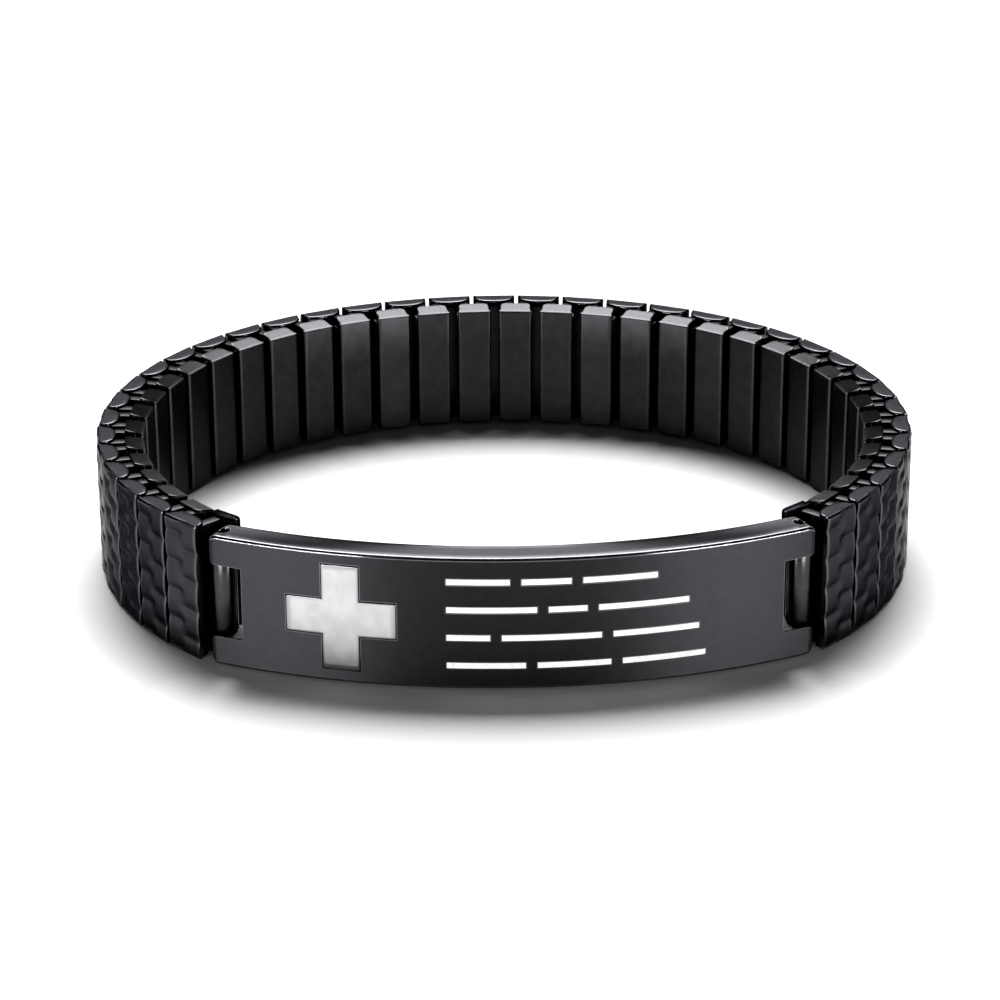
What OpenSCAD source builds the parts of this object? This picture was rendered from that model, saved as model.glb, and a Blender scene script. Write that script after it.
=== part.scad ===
// Medical alert bracelet: a curved identity plate hinged at both ends to an expansion band.
// The band has an outer row of hammered links and an inner row of plain links, half a step
// apart, held together by staples at both edges. The loop's axis is Z, the plate is at -Y,
// and the bracelet stands on its lower edge. The origin is at the middle of its footprint.

/* [Loop] */
// Bend radius of the plate's middle line
plate_bend_r = 53.5; // [46:0.5:65]
// Length along the plate's middle line from its middle to each hinge pin
pin_reach = 24.5; // [22:0.1:27]
// Turn of the band against the plate at each hinge
hinge_turn = 15.9; // [10:0.1:20]
// Bend radius of the band's middle line at the sides
side_bend_r = 32; // [28:0.5:35]
// Turn of the band along each side, before the back
side_turn = 112; // [100:1:116]
// Distance of the band's middle line inwards from the hinge pin
hinge_inset = 0.6; // [0.5:0.05:0.7]
// Length of the band's middle line from the hinge pin to the first outer link's step
lead_in = 1.57; // [1.5:0.01:1.65]

/* [Links] */
// Number of outer links
link_count = 37; // [35:2:39]
// Height of the band
band_h = 12; // [10:0.5:15]
// Depth of an outer link, from its face to its inner wall
outer_t = 1.75; // [1.65:0.05:2]
// Depth of an inner link
inner_t = 1.7; // [1.6:0.05:2]
// Distance between the two rows
row_gap = 0.7; // [0.6:0.05:0.9]
// Gap between neighbouring outer links on the middle line
outer_gap = 0.15; // [0.1:0.01:0.2]
// Gap between neighbouring inner links on the middle line
inner_gap = 1; // [0.9:0.05:1.05]
// Thickness of the folded sheet
sheet_t = 0.2; // [0.15:0.01:0.22]
// Thickness of the hammered wall at the top of its pillows
face_t = 0.55; // [0.52:0.01:0.6]
// Radius of the folds at the band's edges
fold_r = 0.2; // [0.15:0.05:0.3]
// Radius of the upright edges of an inner link
inner_edge_r = 0.25; // [0.15:0.05:0.35]

/* [Hammered pillows] */
// Radius of a pillow, which is curved along the height
pillow_r = 3.2; // [3.1:0.1:3.3]
// Step from pillow to pillow along the height
pillow_step = 2.6; // [2.4:0.1:2.7]
// Height of the lowest pillow in the column nearer the plate's right end
pillow_z = 1.6; // [1.3:0.1:1.8]

/* [Tabs] */
// Set-back of an outer tab from the sides of its link
outer_tab_inset = 0.12; // [0.05:0.01:0.2]
// Radius of the curved side of an outer tab
outer_tab_r = 2.3; // [2.1:0.05:2.6]
// Set-back of an inner tab from the sides of its link
inner_tab_inset = 0.08; // [0.04:0.01:0.15]
// Radius of the corners of an inner tab
inner_tab_r = 0.4; // [0.2:0.05:0.6]

/* [Staples] */
// Width of a staple
staple_w = 0.85; // [0.7:0.05:0.9]
// Thickness of a staple
staple_t = 0.3; // [0.25:0.01:0.32]
// Distance of a staple's middle from the middle of its inner link
staple_offset = 0.82; // [0.8:0.01:0.84]
// Length of a staple's legs
staple_leg = 2.5; // [1.5:0.1:4]
// Distance between a staple and the sheet above and below it
staple_play = 0.06; // [0.05:0.01:0.08]

/* [Plate] */
// Height of the plate
plate_h = 11.5; // [10:0.1:11.7]
// Thickness of the plate
plate_t = 2.9; // [2.6:0.1:3]
// Radius of the plate's long edges
plate_edge_r = 0.25; // [0.15:0.05:0.4]
// Length of the plate past the hinge pin
plate_end = 0.8; // [0.78:0.01:0.85]
// Radius of the plate's end at the wrist side
plate_back_r = 1.2; // [1:0.1:1.3]
// Chamfer of the plate's end at the front
plate_chamfer = 0.3; // [0.2:0.05:0.4]
// Radius of the plate's corners, seen from the front
plate_corner_r = 0.8; // [0.5:0.1:1]
// Radius of the corners of each notch, seen from the front
notch_corner_r = 0.5; // [0.3:0.1:0.8]
// Height of the notch for the hinge barrel
notch_h = 6.4; // [5:0.1:7]
// Reach of the notch from the hinge pin towards the plate's middle
notch_reach = 2.25; // [1.6:0.05:3]

/* [Hinge] */
// Diameter of the hinge pin
pin_d = 0.94; // [0.8:0.02:1]
// Clearance all round the hinge pin
pin_play = 0.03; // [0.02:0.01:0.05]
// Depth of the pin's ends below the plate's edges
pin_sink = 0.6; // [0.3:0.1:1]
// Outer diameter of the rolled barrel
barrel_d = 2; // [1.9:0.05:2]
// Gap between the barrel and each side of its notch
barrel_play = 0.2; // [0.1:0.05:0.4]
// Width of the seam along the barrel
seam_w = 0.24; // [0.15:0.01:0.3]
// Depth of the seam along the barrel
seam_depth = 0.26; // [0.15:0.01:0.3]
// Direction of the seam, turned from the band towards the front
seam_angle = 10; // [0:1:30]
// Gap between an end link and the back of the plate
end_play = 0.15; // [0.1:0.01:0.25]
// Set-back of the end link's body from the hinge pin
end_back = 0.2; // [0.1:0.05:0.4]
// Radius of the end link's rounded end
end_round_r = 0.8; // [0.6:0.1:0.9]

/* [Emblem] */
// Width and height of the cross
cross_w = 9.2; // [7:0.1:10]
// Width of each arm of the cross
cross_arm_w = 3.1; // [2.5:0.1:3.5]
// Radius of the cross's outer corners
cross_corner_r = 0.15; // [0.1:0.05:0.3]
// Distance of the cross from the plate's middle, along the plate
cross_reach = 14.3; // [12:0.1:16]
// Thickness of the cross
cross_t = 0.5; // [0.3:0.05:0.8]
// Height of the cross above the plate's face
cross_proud = 0.06; // [0.02:0.01:0.1]
// Gap around the cross in its recess
cross_play = 0.06; // [0.04:0.01:0.1]

/* [Engraved dashes] */
// Distance between the rows of dashes
dash_row_step = 2.45; // [2:0.05:2.6]
// Height of a dash
dash_h = 0.55; // [0.4:0.05:0.8]
// Depth of the engraving
dash_depth = 0.2; // [0.1:0.05:0.3]
// Depth of the white fill below the plate's face
dash_sink = 0.03; // [0.02:0.01:0.06]
// Distance of the first dash from the plate's middle, along the plate
dash_start = 5.6; // [4:0.1:6]
// Gap between the dashes of a row
dash_gap = 0.9; // [0.6:0.1:1.2]

/* [Hidden] */
$fn = 96;
eps = 0.01;
over = 1;
corner_lift = 0.02;
per_deg = PI / 180;

// The loop's middle line, from the plate's middle at the origin to the back
pin_a = pin_reach / (plate_bend_r * per_deg);
pin_x = plate_bend_r * sin(pin_a);
pin_y = plate_bend_r * (1 - cos(pin_a));
band_h0 = pin_a + hinge_turn;
band_x0 = pin_x - hinge_inset * sin(band_h0);
band_y0 = pin_y + hinge_inset * cos(band_h0);
side_cx = band_x0 - side_bend_r * sin(band_h0);
side_cy = band_y0 + side_bend_r * cos(band_h0);
back_h0 = band_h0 + side_turn;
back_x0 = side_cx + side_bend_r * sin(back_h0);
back_y0 = side_cy - side_bend_r * cos(back_h0);
back_bend_r = back_x0 / sin(back_h0);
back_cy = back_y0 + back_bend_r * cos(back_h0);
side_len = side_bend_r * side_turn * per_deg;
back_len = back_bend_r * (180 - back_h0) * per_deg;
half_len = side_len + back_len;
pitch = 2 * (half_len - lead_in) / link_count;

// Sizes that follow from the rows
outer_w = pitch - outer_gap;
inner_w = pitch - inner_gap;
outer_face = row_gap / 2 + outer_t;
inner_face = row_gap / 2 + inner_t;
leg_out_y = (row_gap / 2 + sheet_t + outer_face - face_t) / 2;
leg_in_y = row_gap / 2 + inner_t / 2;
stay_z = sheet_t + staple_t + 2 * staple_play;
depth_mid = (back_cy + back_bend_r + outer_face - plate_t / 2) / 2;
plate_z = (band_h - plate_h) / 2;
plate_face_r = plate_bend_r + plate_t / 2;

// Sizes of the hinge, in the frame of its pin
barrel_h = notch_h - 2 * barrel_play;
end_far = lead_in + pitch - inner_w / 2 - (inner_gap - outer_gap);
end_outer_y = -plate_t / 2 - end_play;
end_inner_y = -hinge_inset - inner_face;
end_leg_y = -(end_outer_y + end_inner_y) / 2 - hinge_inset;

// Rows of dashes from the top one down, each with the lengths of its dashes
dash_rows = [[5.2, 4.1, 6.2], [7.4, 3.2, 7.6], [3.6, 8.2, 7.3], [6.5, 6.1, 7.1]];

function two_digits(n) = str(n < 10 ? "0" : "", n);
outer_names = [for (i = [1:link_count]) str("outer_link_", two_digits(i))];

black = "#1d1d20";
dark_steel = "#3a3a3e";

// Place and heading on the band's middle line, s from the right hinge round the back
function on_side(s) = let(h = band_h0 + s / (side_bend_r * per_deg))
    [side_cx + side_bend_r * sin(h), side_cy - side_bend_r * cos(h), h];
function on_back(s) = let(h = back_h0 + (s - side_len) / (back_bend_r * per_deg))
    [back_bend_r * sin(h), back_cy - back_bend_r * cos(h), h];
function on_half(s) = s < side_len ? on_side(s) : on_back(s);
function flipped(p) = [-p[0], p[1], 360 - p[2]];
function station(s) = s <= half_len ? on_half(s) : flipped(on_half(2 * half_len - s));

// Step i is the middle of inner link i, and of the gap between outer links i and i + 1
function step_s(i) = lead_in + i * pitch;

// Children lie with +Y outwards and +X back along the band, towards the right hinge
module on_band(s) {
    p = station(s);
    translate([p[0], p[1] - depth_mid, 0])
        rotate([0, 0, p[2] + 180])
            children();
}

// Children lie on the plate's middle line with +X along it and +Y inwards
module on_plate(angle) {
    translate([0, plate_bend_r - depth_mid, 0])
        rotate([0, 0, angle])
            translate([0, -plate_bend_r, 0])
                children();
}

// Children lie at the right hinge pin, turned as the band is there
module on_hinge() {
    translate([pin_x, pin_y - depth_mid, 0])
        rotate([0, 0, band_h0 + 180])
            children();
}

module both_sides(left) {
    if (left) mirror([1, 0, 0]) children();
    else children();
}

// Outline with four rounded corners, centred
module rounded_rect(w, h, r) {
    square([w - 2 * r, h], center = true);
    square([w, h - 2 * r], center = true);
    for (x = [-1, 1], y = [-1, 1])
        translate([x * (w / 2 - r), y * (h / 2 - r)])
            circle(r);
}

// Block of a link's full height, its folds rounded on the side of face_y
module folded_block(w, face_y, back_y) {
    mid_y = (face_y + back_y) / 2;
    reach = abs(face_y - back_y);
    toward = sign(face_y - back_y);
    intersection() {
        translate([-w / 2, min(face_y, back_y), 0])
            cube([w, reach, band_h]);
        translate([0, mid_y - toward * fold_r, band_h / 2])
            rotate([90, 0, 90])
                linear_extrude(height = w + over, center = true)
                    rounded_rect(reach + 2 * fold_r, band_h, fold_r);
    }
}

// Space inside a link: the sleeve, and a lower stay under each tab for the staples
module sleeve_space(w, low_y, high_y, stay_low_y, stay_high_y) {
    translate([-w / 2 + sheet_t, low_y, sheet_t])
        cube([w - 2 * sheet_t, high_y - low_y, band_h - 2 * sheet_t]);
    for (z = [sheet_t, band_h - sheet_t - stay_z])
        translate([-w / 2 - over, stay_low_y, z])
            cube([w + 2 * over, stay_high_y - stay_low_y, stay_z]);
}

// What is cut away around a tab's outline at both edges
module tab_trim(w, low_y, high_y) {
    for (z = [-over, band_h - sheet_t])
        translate([0, 0, z])
            linear_extrude(height = sheet_t + over)
                difference() {
                    translate([-w / 2 - over, low_y - over])
                        square([w + 2 * over, high_y - low_y + over]);
                    children();
                }
}

// Two columns of pillows, half a step apart
module pillows() {
    for (column = [-1, 1], k = [0:ceil(band_h / pillow_step)]) {
        low_z = column > 0 ? pillow_z : pillow_z - pillow_step / 2;
        z = low_z + k * pillow_step;
        if (z < band_h + pillow_step / 2 - eps)
            translate([column * (outer_w + over) / 4, outer_face - pillow_r, z])
                rotate([0, 90, 0])
                    cylinder(r = pillow_r, h = (outer_w + over) / 2 + 2 * eps, center = true);
    }
}

module outer_link() {
    low_y = row_gap / 2;
    space_y = outer_face - face_t;
    tab_w = outer_w - 2 * outer_tab_inset;
    color(black)
        difference() {
            intersection() {
                folded_block(outer_w, outer_face, low_y);
                pillows();
            }
            sleeve_space(outer_w, low_y + sheet_t, space_y, low_y - over, space_y);
            tab_trim(outer_w, low_y, space_y)
                intersection() {
                    translate([-tab_w / 2, low_y - over])
                        square([tab_w, outer_t + 2 * over]);
                    translate([0, low_y + outer_tab_r])
                        circle(outer_tab_r);
                }
        }
}

module inner_link() {
    high_y = -row_gap / 2;
    space_y = -inner_face + sheet_t;
    tab_w = inner_w - 2 * inner_tab_inset;
    difference() {
        intersection() {
            folded_block(inner_w, -inner_face, high_y);
            translate([0, high_y - inner_t / 2 + inner_edge_r, -over])
                linear_extrude(height = band_h + 2 * over)
                    rounded_rect(inner_w, inner_t + 2 * inner_edge_r, inner_edge_r);
        }
        sleeve_space(inner_w, space_y, high_y - sheet_t, space_y, high_y + over);
        for (z = [-over, band_h - sheet_t])
            translate([0, 0, z])
                linear_extrude(height = sheet_t + over)
                    difference() {
                        translate([-inner_w / 2 - over, space_y])
                            square([inner_w + 2 * over, inner_t + over]);
                        translate([0, high_y - inner_t])
                            rounded_rect(tab_w, 2 * inner_t, inner_tab_r);
                    }
    }
}

module inner_links() {
    color(dark_steel)
        for (i = [1:link_count - 1])
            on_band(step_s(i))
                inner_link();
}

// Staple at the upper edge, its inner leg at in_y from the middle line
module staple(in_y) {
    top_z = band_h - sheet_t - staple_play;
    translate([-staple_w / 2, -in_y - staple_t / 2, top_z - staple_t])
        cube([staple_w, in_y + leg_out_y + staple_t, staple_t]);
    for (y = [-in_y, leg_out_y])
        translate([-staple_w / 2, y - staple_t / 2, top_z - staple_leg])
            cube([staple_w, staple_t, staple_leg]);
}

// Every outer link has a staple at each end of its upper edge
module staple_row() {
    for (i = [1:link_count], way = [-1, 1]) {
        inner_i = way < 0 ? i - 1 : i;
        at_end = inner_i == 0 || inner_i == link_count;
        on_band(step_s(inner_i) - way * staple_offset)
            staple(at_end ? end_leg_y : leg_in_y);
    }
}

module staples_upper() {
    color(dark_steel)
        staple_row();
}

module staples_lower() {
    color(dark_steel)
        translate([0, 0, band_h])
            mirror([0, 0, 1])
                staple_row();
}

// Body of an end link behind the plate's end, with the rolled barrel in the notch
module end_link() {
    end_t = end_outer_y - end_inner_y;
    body_len = end_far - end_back;
    web_y = -barrel_d / 2 + sheet_t;
    on_hinge()
        difference() {
            union() {
                difference() {
                    translate([-end_far, -hinge_inset, 0])
                        translate([body_len / 2, 0, 0])
                            folded_block(body_len, -inner_face, end_outer_y + hinge_inset);
                    translate([-end_back - end_round_r, end_inner_y + end_round_r, -over])
                        linear_extrude(height = band_h + 2 * over)
                            difference() {
                                translate([0, -end_round_r - over])
                                    square([end_round_r + over, end_round_r + over]);
                                circle(end_round_r);
                            }
                    translate([-end_far + sheet_t, end_inner_y + sheet_t, sheet_t])
                        cube([body_len - 2 * sheet_t - end_round_r / 2, end_t - 2 * sheet_t,
                            band_h - 2 * sheet_t]);
                    for (z = [sheet_t, band_h - sheet_t - stay_z])
                        translate([-end_far - over, end_inner_y + sheet_t, z])
                            cube([body_len + over - end_back - end_round_r, end_t + over, stay_z]);
                }
                translate([-barrel_d / 2, end_outer_y - eps, (band_h - barrel_h) / 2])
                    cube([barrel_d / 2 - end_back, web_y - end_outer_y, barrel_h]);
                translate([0, 0, (band_h - barrel_h) / 2])
                    cylinder(d = barrel_d, h = barrel_h);
            }
            cylinder(d = pin_d + 2 * pin_play, h = band_h);
            rotate([0, 0, seam_angle])
                translate([barrel_d / 2 - seam_depth, -seam_w / 2, 0])
                    cube([seam_depth + over, seam_w, band_h]);
        }
}

module end_link_side(left) {
    color(black)
        both_sides(left)
            end_link();
}

module hinge_pin_side(left) {
    color(dark_steel)
        both_sides(left)
            on_hinge()
                translate([0, 0, plate_z + pin_sink])
                    cylinder(d = pin_d, h = plate_h - 2 * pin_sink);
}

// Cuts that shape the right end of the plate
module plate_end_cuts() {
    half_t = plate_t / 2;
    low_z = plate_z - over;
    cut_h = plate_h + 2 * over;
    chamfer_side = sqrt(2) * plate_chamfer;
    on_plate(pin_a) {
        translate([plate_end, -plate_t, low_z])
            cube([plate_t, 2 * plate_t, cut_h]);
        translate([plate_end - plate_back_r, half_t - plate_back_r, low_z])
            difference() {
                cube([plate_t, plate_t, cut_h]);
                cylinder(r = plate_back_r, h = cut_h);
            }
        translate([plate_end, -half_t, low_z])
            rotate([0, 0, 45])
                translate([-chamfer_side / 2, -chamfer_side / 2, 0])
                    cube([chamfer_side, chamfer_side, cut_h]);
        translate([-notch_reach, -plate_t, (band_h - notch_h) / 2])
            cube([notch_reach + plate_t, 2 * plate_t, notch_h]);
        for (side = [0, 1])
            translate([0, 0, side * band_h])
                mirror([0, 0, side]) {
                    corner_cut(plate_corner_r, plate_z, 1);
                    corner_cut(notch_corner_r, (band_h - notch_h) / 2, -1);
                }
        translate([0, 0, low_z])
            cylinder(d = pin_d + 2 * pin_play, h = cut_h);
    }
}

// Rounds one corner of the plate's end, at height z, with the metal above it or below it.
// The arc meets the edge at a small angle, so that the pin's hole crosses a clear line.
module corner_cut(r, z, way) {
    translate([plate_end - r, plate_t, z + way * (r - corner_lift)])
        rotate([90, 0, 0])
            difference() {
                translate([0, way > 0 ? -r - over : 0, 0])
                    cube([r + over, r + over, 2 * plate_t]);
                cylinder(r = r, h = 2 * plate_t);
            }
}

// Ring sector about the plate's bend, from radius r_in to r_out
module plate_sector(r_in, r_out, a_from, a_to, z_low, z_high) {
    translate([0, plate_bend_r - depth_mid, 0])
        rotate([0, 0, a_from - 90])
            rotate_extrude(angle = a_to - a_from, $fn = 720)
                translate([r_in, z_low])
                    square([r_out - r_in, z_high - z_low]);
}

function row_start(row, n) = n == 0 ? -dash_start : row_start(row, n - 1) + row[n - 1] + dash_gap;
function face_angle(reach) = reach / (plate_face_r * per_deg);

// The dashes, each swollen by grow on its four sides
module dashes(r_in, r_out, grow) {
    for (r = [0:len(dash_rows) - 1], n = [0:len(dash_rows[r]) - 1]) {
        from = row_start(dash_rows[r], n);
        mid_z = band_h / 2 + ((len(dash_rows) - 1) / 2 - r) * dash_row_step;
        plate_sector(r_in, r_out, face_angle(from - grow), face_angle(from + dash_rows[r][n] + grow),
            mid_z - dash_h / 2 - grow, mid_z + dash_h / 2 + grow);
    }
}

// The cross as a prism through the plate's face, swollen by grow
module cross_prism(grow, depth) {
    arm = cross_arm_w + 2 * grow;
    span = cross_w + 2 * grow;
    on_plate(-face_angle(cross_reach))
        translate([0, -plate_t / 2 + depth, band_h / 2])
            rotate([90, 0, 0])
                linear_extrude(height = depth + over) {
                    rounded_rect(span, arm, cross_corner_r);
                    rounded_rect(arm, span, cross_corner_r);
                }
}

module id_plate() {
    end_a = pin_a + face_angle(plate_t);
    color(dark_steel)
        difference() {
            translate([0, plate_bend_r - depth_mid, plate_z + plate_h / 2])
                rotate([0, 0, -90 - end_a])
                    rotate_extrude(angle = 2 * end_a, $fn = 720)
                        translate([plate_bend_r, 0])
                            rounded_rect(plate_t, plate_h, plate_edge_r);
            plate_end_cuts();
            mirror([1, 0, 0])
                plate_end_cuts();
            cross_prism(cross_play, cross_t);
            dashes(plate_face_r - dash_depth, plate_face_r + over, 0);
        }
}

module emblem_cross() {
    color("#e8e8ea")
        intersection() {
            cross_prism(0, cross_t - cross_play);
            plate_sector(plate_bend_r, plate_face_r + cross_proud,
                -pin_a, 0, 0, band_h);
        }
}

module engraved_dashes() {
    color("#f4f4f4")
        dashes(plate_face_r - dash_depth + dash_sink, plate_face_r - dash_sink, -dash_sink);
}

id_plate();
emblem_cross();
engraved_dashes();
hinge_pin_side(true);  // hinge_pin_left
hinge_pin_side(false);  // hinge_pin_right
end_link_side(true);  // end_link_left
end_link_side(false);  // end_link_right
inner_links();
staples_upper();
staples_lower();
for (i = [1:link_count])
    on_band(step_s(i) - pitch / 2)
            outer_link();
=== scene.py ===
"""Studio scene of the medical alert bracelet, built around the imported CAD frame."""

import logging
import math
from dataclasses import dataclass, field, replace
from enum import Enum
from typing import Any, Callable, Mapping, Sequence

import bmesh
import bpy
import numpy as np
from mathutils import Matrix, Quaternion, Vector

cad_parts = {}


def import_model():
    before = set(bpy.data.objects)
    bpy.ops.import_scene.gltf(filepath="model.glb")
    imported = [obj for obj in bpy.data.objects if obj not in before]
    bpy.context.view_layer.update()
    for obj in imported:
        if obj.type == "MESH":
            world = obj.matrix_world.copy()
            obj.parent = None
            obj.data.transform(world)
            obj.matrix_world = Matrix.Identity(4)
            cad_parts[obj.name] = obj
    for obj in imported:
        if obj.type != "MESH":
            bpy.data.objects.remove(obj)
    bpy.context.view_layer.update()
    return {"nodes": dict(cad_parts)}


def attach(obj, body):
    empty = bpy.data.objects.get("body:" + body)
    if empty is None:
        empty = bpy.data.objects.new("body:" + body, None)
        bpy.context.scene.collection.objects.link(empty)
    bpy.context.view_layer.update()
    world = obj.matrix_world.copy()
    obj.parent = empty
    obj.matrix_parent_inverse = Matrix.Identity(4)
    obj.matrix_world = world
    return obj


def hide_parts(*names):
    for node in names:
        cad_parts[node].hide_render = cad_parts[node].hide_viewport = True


LOG = logging.getLogger("bracelet")
MM = 0.001  # sizes are given in millimetres, meshes hold metres
WELD = 3e-7  # points closer than this many metres become one
BAND_H = 12.0  # height of the band
MIDDLE_Z = BAND_H / 2  # height of the middle of the band and of the plate
SHEET_T = 0.2  # thickness of the sheet that the links are folded from
PAINTED_SHADE_TONE = -1.0  # tone of the sleeve walls between the links: painted shade, the darkest colour and no worn edges
CLOSE = 1e-6  # heights closer than this many millimetres count as one, and no length squared is less
TINY = 1e-9  # least length that anything is divided by
LEVEL_GAIN = 2.5  # a face is level where its normal's Z is 0.9 or more, and upright where it is below 0.5
LEVEL_SHIFT = 1.25

Triple = tuple[float, float, float]
Box = tuple[float, float, float, float]


class Slot(Enum):
    """Material slots of the record."""

    PLATE = "plate_steel"
    HAMMERED = "hammered_steel"
    INNER = "inner_steel"
    BLACK = "black_steel"
    BARE = "bare_steel"
    POLISHED = "polished_steel"
    WHITE = "white_fill"


class Field:
    """A number that varies over a surface: a node socket with arithmetic."""

    def __init__(self, recipe: "Recipe", socket: bpy.types.NodeSocket) -> None:
        """Wraps one socket of a recipe's tree."""
        self.recipe = recipe
        self.socket = socket

    def math(self, operation: str, *values: Any, clamp: bool = False) -> "Field":
        """Adds one Math node.

        Args:
            operation: The node's operation.
            values: Its sockets in order, numbers or fields.
            clamp: Whether the result is kept between 0 and 1.

        Returns:
            The result as a field.
        """
        settings = {"operation": operation, "use_clamp": clamp}
        node = self.recipe.node("ShaderNodeMath", settings, dict(enumerate(values)))
        return Field(self.recipe, node.outputs[0])

    def __add__(self, other: Any) -> "Field":
        """Sum."""
        return self.math("ADD", self, other)

    def __radd__(self, other: Any) -> "Field":
        """Sum with a number in front."""
        return self.math("ADD", other, self)

    def __sub__(self, other: Any) -> "Field":
        """Difference."""
        return self.math("SUBTRACT", self, other)

    def __rsub__(self, other: Any) -> "Field":
        """Difference with a number in front."""
        return self.math("SUBTRACT", other, self)

    def __mul__(self, other: Any) -> "Field":
        """Product."""
        return self.math("MULTIPLY", self, other)

    def __rmul__(self, other: Any) -> "Field":
        """Product with a number in front."""
        return self.math("MULTIPLY", other, self)

    def clamped(self) -> "Field":
        """The field kept between 0 and 1."""
        return self.math("ADD", self, 0.0, clamp=True)

    def smoothed(self, low: float, high: float) -> "Field":
        """A soft step from 0 at low to 1 at high.

        Args:
            low: Value that gives 0.
            high: Value that gives 1.

        Returns:
            The step as a field.
        """
        node = self.recipe.node(
            "ShaderNodeMapRange",
            {"interpolation_type": "SMOOTHSTEP"},
            {"Value": self, "From Min": low, "From Max": high},
        )
        return Field(self.recipe, node.outputs[0])


class Recipe:
    """Node tree of one material."""

    def __init__(self, name: str) -> None:
        """Starts an empty tree.

        Args:
            name: Name of the material.
        """
        self.material = bpy.data.materials.new(name)
        self.material.use_nodes = True
        self.tree = self.material.node_tree
        self.tree.nodes.clear()

    def node(
        self,
        kind: str,
        settings: Mapping[str, Any] | None = None,
        inputs: Mapping[Any, Any] | None = None,
    ) -> bpy.types.Node:
        """Adds a node, sets it up and feeds its sockets.

        Args:
            kind: Type name of the node.
            settings: Its properties.
            inputs: Socket names or numbers with fields, sockets or plain values.

        Returns:
            The new node.
        """
        made = self.tree.nodes.new(kind)
        for key, value in (settings or {}).items():
            setattr(made, key, value)
        for key, value in (inputs or {}).items():
            if isinstance(value, Field):
                value = value.socket
            if isinstance(value, bpy.types.NodeSocket):
                self.tree.links.new(value, made.inputs[key])
            else:
                made.inputs[key].default_value = value
        return made

    def attribute(self, name: str) -> bpy.types.Node:
        """Reads an attribute of the mesh."""
        return self.node("ShaderNodeAttribute", {"attribute_name": name})

    def varying(self, name: str) -> Field:
        """A number attribute of the mesh as a field."""
        return Field(self, self.attribute(name).outputs["Fac"])

    def object_place(self) -> bpy.types.NodeSocket:
        """Place on the piece in metres."""
        return self.node("ShaderNodeTexCoord").outputs["Object"]

    def stretched(self, place: bpy.types.NodeSocket, scale: Triple) -> bpy.types.NodeSocket:
        """A place scaled along its three axes.

        Args:
            place: Socket with the place.
            scale: Factors along X, Y and Z.

        Returns:
            Socket with the scaled place.
        """
        node = self.node("ShaderNodeMapping", None, {"Vector": place, "Scale": scale})
        return node.outputs[0]

    def noise(self, place: bpy.types.NodeSocket, scale: float, detail: float = 3.0) -> Field:
        """Fractal noise about 0.5.

        Args:
            place: Socket with the place.
            scale: Waves for each unit of the place.
            detail: Number of finer layers.

        Returns:
            The noise as a field.
        """
        node = self.node("ShaderNodeTexNoise", None, {"Vector": place, "Scale": scale, "Detail": detail})
        return Field(self, node.outputs[0])

    def tint(
        self, mask: Field, low: Triple | bpy.types.NodeSocket, high: Triple | bpy.types.NodeSocket
    ) -> bpy.types.NodeSocket:
        """Mixes two colours by a mask.

        Args:
            mask: 0 gives the first colour and 1 the second.
            low: First colour, or a socket.
            high: Second colour, or a socket.

        Returns:
            Socket with the mixed colour.
        """
        sides = [c if isinstance(c, bpy.types.NodeSocket) else (*c, 1.0) for c in (low, high)]
        node = self.node("ShaderNodeMix", {"data_type": "RGBA"}, {0: mask, 6: sides[0], 7: sides[1]})
        return node.outputs[2]

    def finish(
        self, colour: Any, roughness: Any, height: Field | None = None, depth: float = 0.0, **constants: Any
    ) -> bpy.types.Material:
        """Ends the tree in a Principled shader.

        Args:
            colour: Base colour, as a socket or plain values.
            roughness: Roughness, as a field or a number.
            height: Surface height for the bump, if any.
            depth: Distance of the bump in metres.
            constants: Plain values for other sockets, their names with underscores.

        Returns:
            The finished material.
        """
        inputs: dict[str, Any] = {"Base Color": colour, "Roughness": roughness}
        for key, value in constants.items():
            inputs[key.replace("_", " ")] = value
        if height is not None:
            bump = self.node("ShaderNodeBump", None, {"Height": height, "Distance": depth, "Strength": 1.0})
            inputs["Normal"] = bump.outputs[0]
        shader = self.node("ShaderNodeBsdfPrincipled", None, inputs)
        self.node("ShaderNodeOutputMaterial", None, {"Surface": shader.outputs[0]})
        return self.material


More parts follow.
